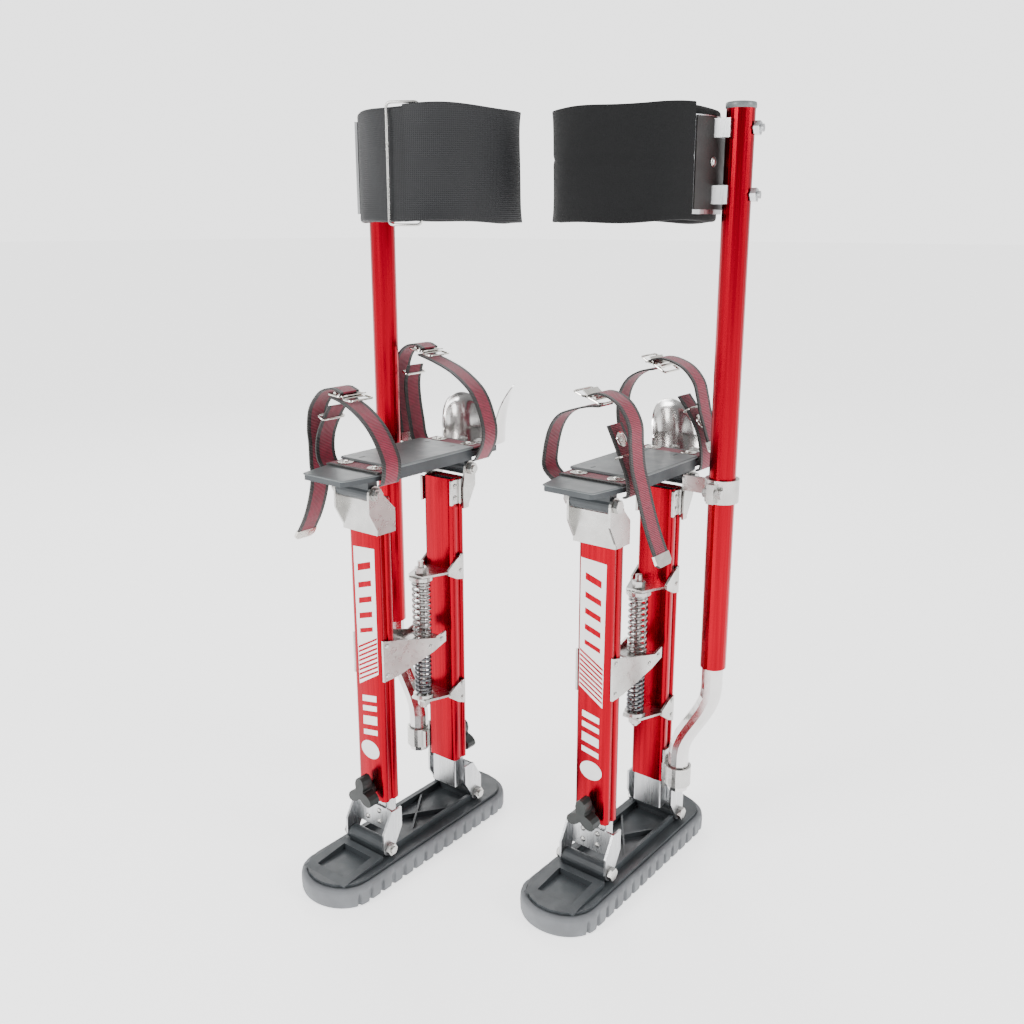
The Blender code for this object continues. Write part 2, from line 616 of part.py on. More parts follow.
def leg_path(steps=8):
    """The silver tube's centre line: up from the saddle, out in an S bend, up into the leg tube."""
    points = [(LEG_FOOT_X, LEG_TUBE_Y, SADDLE_Z - 0.011 - 0.006)]
    for i in range(steps + 1):
        share = i / steps
        ease = share * share * (3 - 2 * share)
        points.append((LEG_FOOT_X + (LEG_TUBE_OFFSET - LEG_FOOT_X) * ease, LEG_TUBE_Y,
                       BEND_BOTTOM + (BEND_TOP - BEND_BOTTOM) * share))
    return points + [(LEG_TUBE_OFFSET, LEG_TUBE_Y, INNER_LEG_TOP)]


def make_lower_leg_tube():
    """Bent silver tube."""
    return tube(leg_path(), INNER_LEG_RADIUS, 3)


def make_tube_clamp():
    """Clamp round the leg tube on an arm that the rear top bolt holds, low enough for the foot plate."""
    low = TOP_PIVOT_Z - CLAMP_HEIGHT / 2
    high = TOP_PIVOT_Z + CLAMP_HEIGHT / 2
    arm_high = TOP_PIVOT_Z + CLAMP_ARM_RISE
    x, y = LEG_TUBE_OFFSET, LEG_TUBE_Y
    outer = CLAMP_RADIUS + CLAMP_WALL
    arm_in = UPPER_EAR_IN + SHEET + GAP
    hole = circle(PIVOT_Y, TOP_PIVOT_Z, BORE_RADIUS, 16)
    blade_front = PIVOT_Y - BOLT_HEAD_RADIUS - 0.010
    blade = slab("side", [rounded(rectangle(blade_front, PIVOT_Y + EAR_RADIUS, low, arm_high), 0.004), hole],
                 arm_in, arm_in + SHEET)
    ring = cylinder((x, y, low), (x, y, high), outer, 24)
    arm = box((arm_in + 0.0005, blade_front + 0.0005, low + 0.002),
              (x, blade_front + 0.0045, arm_high - 0.001))
    lug = box((x - 0.004, y - outer - 0.009, low + 0.002), (x + 0.004, y - outer + 0.004, high - 0.002))
    screw = cylinder((x - 0.009, y - outer - 0.004, TOP_PIVOT_Z), (x + 0.011, y - outer - 0.004, TOP_PIVOT_Z),
                     0.005, 6)
    bore = cylinder((x, y, low - 0.01), (x, y, high + 0.01), CLAMP_RADIUS, 24)
    return combined(combined(ring, [arm, blade, lug, screw]), [bore], "DIFFERENCE")


def make_leg_tube():
    """Straight outer leg tube with a closed cap at its upper end."""
    bore = LEG_TUBE_RADIUS - LEG_TUBE_WALL
    cap = LEG_TUBE_TOP + CAP_OVERHANG
    profile = [(0, cap), (LEG_TUBE_RADIUS - 0.001, cap), (LEG_TUBE_RADIUS, LEG_TUBE_TOP),
               (LEG_TUBE_RADIUS, LEG_TUBE_BOTTOM), (bore, LEG_TUBE_BOTTOM), (bore, LEG_TUBE_TOP - 0.006),
               (0, LEG_TUBE_TOP - 0.006)]
    body = turned(profile, (LEG_TUBE_OFFSET, LEG_TUBE_Y), 24, False)
    drills = []
    for z in (TAB_MIDDLE - TAB_SPACING / 2, TAB_MIDDLE + TAB_SPACING / 2):
        start, end = bolt_line(z)
        drills.append(cylinder(start, end, BOLT_RADIUS, 12))
    return combined(body, drills, "DIFFERENCE")


def band_point(distance, side, z):
    """A point on the line from the band's centre through the leg tube: distance out, side to the left."""
    x = BAND_X + distance * math.cos(BAND_TURN) - side * math.sin(BAND_TURN)
    y = BAND_Y + distance * math.sin(BAND_TURN) + side * math.cos(BAND_TURN)
    return (x, y, z)


def bolt_line(z):
    """The two ends of a calf bracket bolt, through the leg tube."""
    reach = BAND_DISTANCE + LEG_TUBE_RADIUS + 0.009
    return band_point(CALF_PLATE_RADIUS + SHEET / 2, 0, z), band_point(reach, 0, z)


def make_calf_bracket():
    """Curved plate behind the band, with two saddle tabs and a bolt through each into the leg tube."""
    inner, outer = CALF_PLATE_RADIUS, CALF_PLATE_RADIUS + SHEET
    start, end = BAND_TURN - CALF_PLATE_SPREAD, BAND_TURN + CALF_PLATE_SPREAD
    outline = arc(BAND_X, BAND_Y, inner, start, end, 12) + arc(BAND_X, BAND_Y, outer, end, start, 12)
    plate = slab("top", [outline], BAND_MIDDLE - CALF_PLATE_HEIGHT / 2, BAND_MIDDLE + CALF_PLATE_HEIGHT / 2)
    parts = []
    for z in (TAB_MIDDLE - TAB_SPACING / 2, TAB_MIDDLE + TAB_SPACING / 2):
        half = TAB_HALF_WIDTH
        corners = [band_point(outer - 0.0015, side, 0)[:2] for side in (-half, half)]
        corners += [band_point(BAND_DISTANCE - 0.004, side, 0)[:2] for side in (half, -half)]
        tab = slab("top", [corners], z - TAB_HEIGHT / 2, z + TAB_HEIGHT / 2)
        cut = cylinder((LEG_TUBE_OFFSET, LEG_TUBE_Y, z - 0.02), (LEG_TUBE_OFFSET, LEG_TUBE_Y, z + 0.02),
                       LEG_TUBE_RADIUS + GAP, 24)
        parts.append(combined(tab, [cut], "DIFFERENCE"))
        first, last = bolt_line(z)
        parts.append(cylinder(first, last, BOLT_RADIUS - GAP, 12))
        nut_at = band_point(BAND_DISTANCE + LEG_TUBE_RADIUS + 0.0008, 0, z)
        nut_end = band_point(BAND_DISTANCE + LEG_TUBE_RADIUS + 0.006, 0, z)
        parts.append(cylinder(nut_at, nut_end, BOLT_HEAD_RADIUS, 6))
    return combined(plate, parts)


def make_calf_band():
    """Padded band: a ring with an open bore for the calf."""
    inner = BAND_RADIUS - BAND_THICKNESS
    top = BAND_BOTTOM + BAND_HEIGHT
    edge = BAND_THICKNESS / 4
    profile = [(BAND_RADIUS - edge, top), (BAND_RADIUS, top - edge), (BAND_RADIUS, BAND_BOTTOM + edge),
               (BAND_RADIUS - edge, BAND_BOTTOM), (inner + edge, BAND_BOTTOM), (inner, BAND_BOTTOM + edge),
               (inner, top - edge), (inner + edge, top)]
    return turned(profile, (BAND_X, BAND_Y), 32)


# ---------------------------------------------------------------- foot plate


def make_foot_plate():
    """Moulded foot plate: raised deck, lower toe and heel pieces, and two hinge barrels underneath."""
    half = DECK_WIDTH / 2
    toe, heel = -PIVOT_Y - TOE_REACH, PIVOT_Y + HEEL_REACH
    right = [(TOE_WIDTH / 2 - 0.003, toe), (TOE_WIDTH / 2, toe + 0.003), (half - 0.002, RISE_Y_FRONT - 0.010),
             (half - 0.002, heel - 0.014), (half - 0.014, heel)]
    lip = slab("top", [right + [(-x, y) for x, y in reversed(right)]], LIP_BOTTOM, LIP_TOP)
    deck = slab("top", [rounded(rectangle(-half + 0.002, half - 0.002, RISE_Y_FRONT, RISE_Y_REAR), 0.002, 2)],
                DECK_BOTTOM, FOOT_HEIGHT)
    barrels = [barrel(end, TOP_PIVOT_Z, LIP_BOTTOM + 0.002, UPPER_EAR_IN) for end in (FRONT, REAR)]
    plate = combined(lip, [deck] + barrels)
    return combined(plate, [pin_hole(end, TOP_PIVOT_Z) for end in (FRONT, REAR)], "DIFFERENCE")


def make_heel_cup():
    """Bent sheet cup round the heel, on a foot screwed to the heel piece."""
    inner, outer = HEEL_CUP_RADIUS - HEEL_CUP_WALL, HEEL_CUP_RADIUS
    y = PIVOT_Y + HEEL_REACH + HEEL_CUP_OVERHANG - HEEL_CUP_RADIUS
    low = LIP_TOP + GAP
    start, end = math.radians(-8), math.radians(188)
    outline = arc(0, y, outer, start, end, 20) + arc(0, y, inner, end, start, 20)
    wall = slab("top", [outline], low, low + HEEL_CUP_HEIGHT)
    side = outer - 0.0005
    foot = slab("top", [arc(0, y, side, 0, math.pi, 16) + rectangle(-side, side, y - HEEL_CUP_FOOT, y)[:2]],
                low, low + HEEL_CUP_WALL)
    return combined(wall, [foot])


def strap_loop(y):
    """A webbing loop over the foot: an arch from one edge of the foot plate to the other."""
    half = DECK_WIDTH / 2 + STRAP_INSET
    low = LIP_TOP - 0.004
    rise = FOOT_HEIGHT + STRAP_RISE - low

    def arch(offset):
        turns = [math.pi * i / 16 for i in range(17)]
        return [((half + offset) * math.copysign(abs(math.cos(a)) ** 0.6, math.cos(a)),
                 low + (rise + offset) * math.sin(a) ** 0.8) for a in turns]

    outline = arch(0) + list(reversed(arch(STRAP_THICKNESS)))
    return slab("front", [outline], y - STRAP_WIDTH / 2, y + STRAP_WIDTH / 2)


# ---------------------------------------------------------------- materials


def material(name, colour, roughness, metallic):
    """A Principled BSDF material."""
    made = bpy.data.materials.new(name)
    made.use_nodes = True
    shader = made.node_tree.nodes["Principled BSDF"]
    shader.inputs["Base Color"].default_value = (*colour, 1)
    shader.inputs["Roughness"].default_value = roughness
    shader.inputs["Metallic"].default_value = metallic
    return made


# ---------------------------------------------------------------- assembly


def pieces(finish):
    """Every piece of one stilt: name, body, shape and material."""
    rubber, plastic, black = finish["rubber"], finish["plastic"], finish["black"]
    steel, aluminium, red = finish["steel"], finish["aluminium"], finish["red"]
    fabric, webbing = finish["fabric"], finish["webbing"]
    rear_spacer = SHEET + GAP
    instep = PIVOT_Y + INSTEP_STRAP_BEHIND
    upper_start = SPRING_TOP - UPPER_SPRING_LENGTH
    lower_end = SPRING_BOTTOM + LOWER_SPRING_LENGTH
    return [
        ("sole", "base", make_sole(), rubber),
        ("floor_plate", "base", make_floor_plate(), plastic),
        ("front_base_bolt", "base", make_bolt(FRONT, BASE_PIVOT_Z, LOWER_EAR_IN), steel),
        ("rear_base_bolt", "base", make_bolt(REAR, BASE_PIVOT_Z, LOWER_EAR_IN), steel),
        ("front_lower_tube", "front_lower", make_lower_tube(FRONT), aluminium),
        ("rear_lower_tube", "rear_lower", make_lower_tube(REAR), aluminium),
        ("front_upper_tube", "front_upper", make_upper_tube(FRONT), red),
        ("front_top_bracket", "front_upper", make_top_bracket(FRONT), steel),
        ("spring_yoke", "front_upper", make_spring_yoke(), steel),
        ("front_knob", "front_knob", make_knob(FRONT), black),
        ("rear_upper_tube", "rear_upper", make_upper_tube(REAR), red),
        ("rear_top_bracket", "rear_upper", make_top_bracket(REAR), steel),
        ("rear_top_bolt", "rear_upper", make_bolt(REAR, TOP_PIVOT_Z, UPPER_EAR_IN, rear_spacer), steel),
        ("spring_rod", "rear_upper", make_spring_rod(), steel),
        ("spring_top_bracket", "rear_upper", make_spring_bracket(TOP_SHELF_Z, 1), steel),
        ("spring_bottom_bracket", "rear_upper", make_spring_bracket(BOTTOM_SHELF_Z, -1), steel),
        ("upper_spring", "rear_upper", make_spring(upper_start, SPRING_TOP, UPPER_SPRING_RADIUS), steel),
        ("lower_spring", "rear_upper", make_spring(SPRING_BOTTOM, lower_end, LOWER_SPRING_RADIUS), steel),
        ("leg_tube_bracket", "rear_upper", make_leg_tube_bracket(), steel),
        ("lower_leg_tube", "rear_upper", make_lower_leg_tube(), aluminium),
        ("tube_clamp", "rear_upper", make_tube_clamp(), steel),
        ("rear_knob", "rear_knob", make_knob(REAR), black),
        ("leg_tube", "leg_tube", make_leg_tube(), red),
        ("calf_bracket", "leg_tube", make_calf_bracket(), aluminium),
        ("calf_band", "leg_tube", make_calf_band(), fabric),
        ("foot_plate", "foot_plate", make_foot_plate(), plastic),
        ("front_top_bolt", "foot_plate", make_bolt(FRONT, TOP_PIVOT_Z, UPPER_EAR_IN), steel),
        ("heel_cup", "foot_plate", make_heel_cup(), aluminium),
        ("toe_strap", "foot_plate", strap_loop(-PIVOT_Y + TOE_STRAP_BACK), webbing),
        ("instep_strap", "foot_plate", strap_loop(instep), webbing),
    ]


# Each body's parent body, and its joint's place in the stilt's frame.
BODIES = {
    "base": (None, (0, 0, 0)),
    "front_lower": ("base", (0, -PIVOT_Y, BASE_PIVOT_Z)),
    "front_upper": ("front_lower", (0, -STRUT_Y, TUBE_BOTTOM)),
    "front_knob": ("front_upper", (0, -STRUT_Y - STRUT_DEPTH / 2, KNOB_Z)),
    "rear_lower": ("base", (0, PIVOT_Y, BASE_PIVOT_Z)),
    "rear_upper": ("rear_lower", (0, STRUT_Y, TUBE_BOTTOM)),
    "rear_knob": ("rear_upper", (0, STRUT_Y + STRUT_DEPTH / 2, KNOB_Z)),
    "leg_tube": ("rear_upper", (LEG_TUBE_OFFSET, LEG_TUBE_Y, LEG_TUBE_BOTTOM)),
    "foot_plate": ("rear_upper", (0, PIVOT_Y, TOP_PIVOT_Z)),
}


def place_stilt(collection, parts, prefix, side, centre):
    """Stand one stilt at its centre, mirrored where side is -1, each piece on its body's empty."""
    empties = {}
    for body, (parent, joint) in BODIES.items():
        empty = bpy.data.objects.new(f"{prefix}_{body}_joint", None)
        empty.empty_display_size = 0.02
        collection.objects.link(empty)
        place = Vector((side * joint[0], joint[1], joint[2]))
        if parent is None:
            empty.location = Vector((*centre, 0)) + place
        else:
            above = BODIES[parent][1]
            empty.parent = empties[parent]
            empty.location = place - Vector((side * above[0], above[1], above[2]))
        empties[body] = empty
    for name, body, shape, finish in parts:
        mesh = shape.data.copy()
        if side < 0:
            mesh.transform(Matrix.Diagonal((-1, 1, 1, 1)))
            mesh.flip_normals()
        joint = BODIES[body][1]
        mesh.transform(Matrix.Translation((-side * joint[0], -joint[1], -joint[2])))
        mesh.materials.clear()
        mesh.materials.append(finish)
        mesh.shade_smooth()
        mesh.set_sharp_from_angle(angle=math.radians(30))
        made = bpy.data.objects.new(f"{prefix}_{name}", mesh)
        collection.objects.link(made)
        made.parent = empties[body]


def main():
    """Build both stilts."""
    for old in list(bpy.data.objects):
        bpy.data.objects.remove(old)
    collection = bpy.data.collections.new("drywall_stilts")
    bpy.context.scene.collection.children.link(collection)
    finish = {
        "rubber": material("grey_rubber", (0.22, 0.23, 0.24), 0.75, 0),
        "plastic": material("dark_grey_plastic", (0.06, 0.07, 0.08), 0.5, 0),
        "steel": material("zinc_plated_steel", (0.72, 0.72, 0.74), 0.35, 1),
        "aluminium": material("aluminium", (0.80, 0.80, 0.82), 0.3, 1),
        "red": material("red_anodised_aluminium", (0.55, 0.01, 0.03), 0.3, 0.8),
        "black": material("black_plastic", (0.015, 0.015, 0.015), 0.5, 0),
        "fabric": material("black_fabric", (0.012, 0.012, 0.012), 0.9, 0),
        "webbing": material("crimson_webbing", (0.35, 0.02, 0.06), 0.85, 0),
    }
    parts = pieces(finish)
    middle = (SOLE_TOE - max(SOLE_HEEL, HEEL_REACH + HEEL_CUP_OVERHANG)) / 2
    left = (STILT_SPACING / 2, middle + STILT_STAGGER / 2)
    right = (-STILT_SPACING / 2, middle - STILT_STAGGER / 2)
    place_stilt(collection, parts, "left", 1, left)
    place_stilt(collection, parts, "right", -1, right)
    for _, _, shape, _ in parts:
        bpy.data.objects.remove(shape)


main()
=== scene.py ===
"""A pair of adjustable drywall stilts: the finished look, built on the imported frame.

Every extra piece is modelled once in a stilt's own axes and placed on both stilts. Those axes are
u outward from the stilt's centre plane, y from the toe to the heel between the pivots, and z up.
The right stilt is the mirror image of the left one.
"""

import math

import bmesh
import bpy
import numpy as np
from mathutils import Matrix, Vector


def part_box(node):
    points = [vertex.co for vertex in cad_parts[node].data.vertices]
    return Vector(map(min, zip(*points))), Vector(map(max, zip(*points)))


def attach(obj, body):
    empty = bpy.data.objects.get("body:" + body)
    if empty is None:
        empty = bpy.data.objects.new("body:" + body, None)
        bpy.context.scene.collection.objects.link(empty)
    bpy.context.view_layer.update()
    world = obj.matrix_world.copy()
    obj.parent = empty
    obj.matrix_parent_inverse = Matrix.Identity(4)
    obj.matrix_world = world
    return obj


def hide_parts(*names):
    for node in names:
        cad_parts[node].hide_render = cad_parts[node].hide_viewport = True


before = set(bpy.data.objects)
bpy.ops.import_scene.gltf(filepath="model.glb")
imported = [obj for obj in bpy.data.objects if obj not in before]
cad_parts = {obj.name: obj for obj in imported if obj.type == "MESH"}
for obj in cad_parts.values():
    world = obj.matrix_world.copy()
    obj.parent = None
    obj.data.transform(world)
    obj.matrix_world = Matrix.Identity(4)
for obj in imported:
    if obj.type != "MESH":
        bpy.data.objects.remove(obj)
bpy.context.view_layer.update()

# ---------------------------------------------------------------- rubber soles
# Moulded grey rubber overshoes, 286 x 90 mm, pressed on the floor plates' rims.
# Their sides are cut into lugs that are deeper near the ground than at the top.


def hex_colour(code):
    """Linear RGBA from an sRGB hex colour: each channel is ((c + 0.055) / 1.055) to the power 2.4."""
    values = [int(code[i:i + 2], 16) / 255 for i in (1, 3, 5)]
    return (*[v / 12.92 if v <= 0.04045 else ((v + 0.055) / 1.055) ** 2.4 for v in values], 1)


def add_node(tree, kind, values=(), **settings):
    """Add a node, set its properties, and fill or link its inputs by name or number."""
    made = tree.nodes.new(kind)
    for key, value in settings.items():
        setattr(made, key, value)
    for key, value in dict(values).items():
        if isinstance(value, bpy.types.NodeSocket):
            tree.links.new(value, made.inputs[key])
        else:
            made.inputs[key].default_value = value
    return made


def new_material(name, values):
    """A Principled material with its constants set on the shader; returns it, its tree and the shader."""
    made = bpy.data.materials.new(name)
    made.use_nodes = True
    tree = made.node_tree
    shader = tree.nodes["Principled BSDF"]
    for key, value in values.items():
        shader.inputs[key].default_value = value
    return made, tree, shader


def noise(tree, size, detail=3, stretch=(1, 1, 1)):
    """Smooth noise in object coordinates whose blobs are about size metres across."""
    place = add_node(tree, "ShaderNodeTexCoord")
    scaled = add_node(tree, "ShaderNodeMapping", {"Vector": place.outputs["Object"], "Scale": stretch})
    values = {"Vector": scaled.outputs[0], "Scale": 1 / size, "Detail": detail}
    return add_node(tree, "ShaderNodeTexNoise", values).outputs[0]


def between(tree, factor, low, high):
    """A value that runs from low to high as factor runs from 0.3 to 0.7."""
    values = {"Value": factor, 1: 0.3, 2: 0.7, 3: low, 4: high}
    return add_node(tree, "ShaderNodeMapRange", values).outputs[0]


def mixed(tree, factor, first, second):
    """A blend of two colours, each a hex code or a socket."""
    made = add_node(tree, "ShaderNodeMix", {0: factor}, data_type="RGBA")
    for index, value in ((6, first), (7, second)):
        if isinstance(value, str):
            made.inputs[index].default_value = hex_colour(value)
        else:
            tree.links.new(value, made.inputs[index])
    return made.outputs[2]


def bumped(tree, shader, height, distance, strength=1.0):
    """Drive the shader's normal from a height, with relief of about distance metres."""
    values = {"Height": height, "Distance": distance, "Strength": strength}
    tree.links.new(add_node(tree, "ShaderNodeBump", values).outputs[0], shader.inputs["Normal"])


def moulded(name, light, dark, roughness, grain, relief, coat=0.0):
    """A moulded rubber or plastic: two near shades in soft patches, a fine grain and uneven gloss."""
    made, tree, shader = new_material(name, {"Metallic": 0.0, "Coat Weight": coat, "Coat Roughness": 0.35,
                                             "Specular IOR Level": 0.45})
    patches = between(tree, noise(tree, 0.03, 4), 0, 1)
    tree.links.new(mixed(tree, patches, dark, light), shader.inputs["Base Color"])
    tree.links.new(between(tree, noise(tree, 0.012), roughness - 0.07, roughness + 0.07),
                   shader.inputs["Roughness"])
    bumped(tree, shader, noise(tree, grain, 2), relief)
    return made


# Matt grey rubber, a little dusty.
grey_rubber = moulded("grey_rubber", "#777A7D", "#67696C", 0.62, 0.0012, 0.00020)


def stilt_places():
    """Each stilt's sign, centre plane and middle between its pivots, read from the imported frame."""
    places = {}
    for side, sign in (("right", -1), ("left", 1)):
        low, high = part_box(f"{side}_sole")
        front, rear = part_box(f"{side}_front_base_bolt"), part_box(f"{side}_rear_base_bolt")
        middle = (front[0][1] + front[1][1] + rear[0][1] + rear[1][1]) / 4
        places[side] = (sign, (low[0] + high[0]) / 2, middle)
    return places


STILTS = stilt_places()


def piece(name, side, body, shape, finish, smooth=35, cloth=None):
    """Place a shape in stilt axes on one stilt, close it outward, and let it ride on that body."""
    sign, x, y = STILTS[side]
    points, faces = shape
    world = np.column_stack([x + sign * points[:, 0], y + points[:, 1], points[:, 2]])
    mesh = bpy.data.meshes.new(f"{side}_{name}")
    mesh.from_pydata(world.tolist(), [], [list(face) for face in faces])
    if cloth is not None:
        attribute = mesh.attributes.new("cloth", "FLOAT_VECTOR", "POINT")
        attribute.data.foreach_set("vector", np.asarray(cloth, np.float32).ravel())
    work = bmesh.new()
    work.from_mesh(mesh)
    bmesh.ops.recalc_face_normals(work, faces=work.faces)
    work.to_mesh(mesh)
    work.free()
    mesh.shade_smooth()
    mesh.set_sharp_from_angle(angle=math.radians(smooth))
    mesh.materials.append(finish)
    made = bpy.data.objects.new(f"{side}_{name}", mesh)
    bpy.context.scene.collection.objects.link(made)
    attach(made, f"{side}_{body}")
    return made


def loft(rings, capped=True, closed=True):
    """A skin over rings of points (rings, points, 3), each ring closed, with flat ends."""
    count, size = rings.shape[:2]
    index = np.arange(count * size).reshape(count, size)
    after = np.roll(index, -1, axis=1)
    if not closed:
        index, after = index[:, :-1], index[:, 1:]
    low, high = slice(0, count - 1), slice(1, count)
    quads = np.stack([index[low], after[low], after[high], index[high]], -1).reshape(-1, 4).tolist()
    if capped:
        full = np.arange(count * size).reshape(count, size)
        quads += [full[0][::-1].tolist(), full[-1].tolist()]
    return rings.reshape(-1, 3), quads


def joined(*shapes):
    """Several shapes as one."""
    points, faces, start = [], [], 0
    for shape_points, shape_faces in shapes:
        points.append(shape_points)
        faces += [[i + start for i in face] for face in shape_faces]
        start += len(shape_points)
    return np.vstack(points), faces


def sole_shape():
    """The sole: rings of its plan at rising heights. Plan: half ellipses at toe and heel joined by straight
    sides; the sides sink by a smooth square wave every 16.5 mm, deep at the ground and slight at the top."""
    half, toe, heel = 0.0450, -0.1555, 0.1305
    straight = np.linspace(toe + 0.037, heel - 0.036, 230)
    turn = np.linspace(0, np.pi, 50)[1:-1]
    right = np.column_stack([np.full_like(straight, half), straight])
    back = np.column_stack([half * np.cos(turn), heel - 0.036 + 0.036 * np.sin(turn)])
    front = np.column_stack([-half * np.cos(turn), toe + 0.037 - 0.037 * np.sin(turn)])
    left = np.column_stack([np.full_like(straight, -half), straight[::-1]])
    plan = np.vstack([right, back, left, front])
    wave = np.cos(2 * np.pi * plan[:, 1] / 0.0165) - 0.62
    notch = 1 / (1 + np.exp(-wave / 0.05)) * (np.abs(plan[:, 0]) > half * 0.93)
    normal = np.roll(plan, -1, 0) - np.roll(plan, 1, 0)
    normal = np.column_stack([normal[:, 1], -normal[:, 0]])
    normal /= np.linalg.norm(normal, axis=1)[:, None]
    stations = [(0.010, 0.0000, 0.0), (0.0035, 0.0000, 3.4), (0.0010, 0.0010, 3.4), (0.0003, 0.0035, 3.2),
                (0.0, 0.0120, 2.6), (0.0002, 0.0165, 0.9), (0.0008, 0.0192, 0.5), (0.0022, 0.0207, 0.3),
                (0.0042, 0.0210, 0.0), (0.0060, 0.0210, 0.0), (0.0063, 0.0200, 0.0), (0.012, 0.0200, 0.0)]
    rings = []
    for inset, z, depth in stations:
        offset = inset + notch * depth * 0.001
        rings.append(np.column_stack([plan - normal * offset[:, None], np.full(len(plan), z)]))
    return loft(np.array(rings))


for side in STILTS:
    sole = piece("rubber_sole", side, "base", sole_shape(), grey_rubber, 40)
    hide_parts(f"{side}_sole")

# ---------------------------------------------------------------- moulded floor plates and foot plates
# Glass-filled nylon mouldings in dark grey: the CAD solids with a moulded finish.
# Lighter sheets lie on the raised deck and the toe piece: painted light, the dark nylon's tops shown lighter
# as if lit from above.

# Dark grey moulded nylon, satin.
dark_plastic = moulded("dark_grey_plastic", "#3E4346", "#303437", 0.42, 0.0009, 0.00012)
# The same nylon in a lighter grey: painted light on the deck and toe tops, and the grey of the leg tube caps.
cap_and_painted_lit_top_plastic = moulded("grey_cap_and_painted_lit_top_plastic", "#6B7071", "#595E5F", 0.40, 0.0016, 0.00010, 0.15)


def plate(outline, low, high, bevel=0.0005, plane="top"):
    """A flat sheet of the outline's shape from low to high with its edges eased by bevel. Each point moves in
    along the mean of its two edge normals."""
    outline = np.asarray(outline, float)
    area = np.sum(outline[:, 0] * np.roll(outline[:, 1], -1) - np.roll(outline[:, 0], -1) * outline[:, 1])
    if area < 0:
        outline = outline[::-1]
    edge = np.roll(outline, -1, 0) - outline
    normal = np.column_stack([edge[:, 1], -edge[:, 0]]) / np.linalg.norm(edge, axis=1)[:, None]
    mean = normal + np.roll(normal, 1, 0)
    mean /= np.maximum(np.sum(mean * normal, 1), 0.4)[:, None]
    rings = [(bevel, low), (0, low + bevel), (0, high - bevel), (bevel, high)]
    stack = []
    for inset, level in rings:
        flat = outline - mean * inset
        height = np.full(len(flat), level)
        columns = {"top": (flat[:, 0], flat[:, 1], height), "side": (height, flat[:, 0], flat[:, 1]),
                   "front": (flat[:, 0], height, flat[:, 1])}[plane]
        stack.append(np.column_stack(columns))
    return loft(np.array(stack))


def rounded_outline(corners, radius, steps=5):
    """Corners joined by straight sides, each corner turned on an arc of the radius."""
    corners = np.asarray(corners, float)
    out = []
    for i, corner in enumerate(corners):
        before = corners[i - 1] - corner
        after = corners[(i + 1) % len(corners)] - corner
        before /= np.linalg.norm(before)
        after /= np.linalg.norm(after)
        for share in np.linspace(0, 1, steps + 1):
            weight = np.array([(1 - share) ** 2, share ** 2])
            out.append(corner + radius * (weight[0] * before + weight[1] * after))
    return np.array(out)


for side in STILTS:
    # Lighter top sheets on the deck and the toe piece: painted light from above.
    deck = plate(rounded_outline([(-0.0392, -0.0583), (0.0392, -0.0583), (0.0392, 0.0627), (-0.0392, 0.0627)],
                                 0.003), 0.4548, 0.4576, 0.0007)
    piece("deck_top", side, "foot_plate_assembly", deck, cap_and_painted_lit_top_plastic)
    toe = plate(rounded_outline([(-0.0288, -0.1178), (0.0288, -0.1178), (0.0383, -0.0683), (0.0383, -0.0590),
                                 (-0.0383, -0.0590), (-0.0383, -0.0683)], 0.003), 0.4508, 0.4525, 0.0006)
    piece("toe_top", side, "foot_plate_assembly", toe, cap_and_painted_lit_top_plastic)
    # Dark sheets on the deck top where its four slots open: painted shade in the openings.
    painted_slot_shade_sheets = [plate(rounded_outline([(u - 0.0012, y - 0.004), (u + 0.0012, y - 0.004), (u + 0.0012, y + 0.004),
                                    (u - 0.0012, y + 0.004)], 0.001), 0.4570, 0.4578, 0.0002)
             for u, y in ((-0.018, -0.047), (0.018, -0.047), (-0.018, 0.052), (0.018, 0.052))]
    made = piece("deck_painted_slot_shade", side, "foot_plate_assembly", joined(*painted_slot_shade_sheets), dark_plastic)

# ---------------------------------------------------------------- red anodised extrusions and tubes
# Aluminium with a crimson anodised skin: satin, metallic, with fine die lines along its length.
# The struts' visible skins carry a deep groove along each side, as the die leaves it.


def metal(name, code, shade, low, high, streak=(1, 1, 1), size=0.02, relief=0.00002):
    """A metal: two near shades in streaks, gloss between low and high, and a faint relief."""
    made, tree, shader = new_material(name, {"Metallic": 1.0, "IOR": 1.5})
    cloud = between(tree, noise(tree, size, 4, streak), 0, 1)
    tree.links.new(mixed(tree, cloud, code, shade), shader.inputs["Base Color"])
    tree.links.new(between(tree, noise(tree, size * 0.4, 3, streak), low, high), shader.inputs["Roughness"])
    if relief:
        bumped(tree, shader, noise(tree, size * 0.15, 2, streak), relief)
    return made


# Crimson anodised aluminium, die lines along z.
red_anodised = metal("red_anodised", "#A0001E", "#880017", 0.22, 0.32, (1, 1, 0.02), 0.004, 0.000006)
# Extruded aluminium as it leaves the die.
bare_aluminium = metal("bare_aluminium", "#CFD0D1", "#BFC1C3", 0.24, 0.36, (1, 1, 0.03), 0.004, 0.000006)
# Aluminium sheet, brightened.
polished_aluminium = metal("polished_aluminium", "#DAD8D6", "#CECCCB", 0.12, 0.22, (1, 1, 1), 0.02, 0.000006)
# Zinc plate on pressed steel: bright, cloudy.
zinc_steel = metal("zinc_steel", "#C9C8C5", "#B4B3B0", 0.24, 0.34, (1, 1, 1), 0.020, 0)
# Plated spring wire, darker than the brackets.
spring_steel = metal("spring_steel", "#B9B8B6", "#9B9A99", 0.22, 0.34, (1, 1, 1), 0.008, 0.000004)
# The lower springs are heavier wire with a darker temper colour.
dark_spring_steel = metal("dark_spring_steel", "#7C7D80", "#5E5F63", 0.22, 0.36, (1, 1, 1), 0.008, 0.000004)


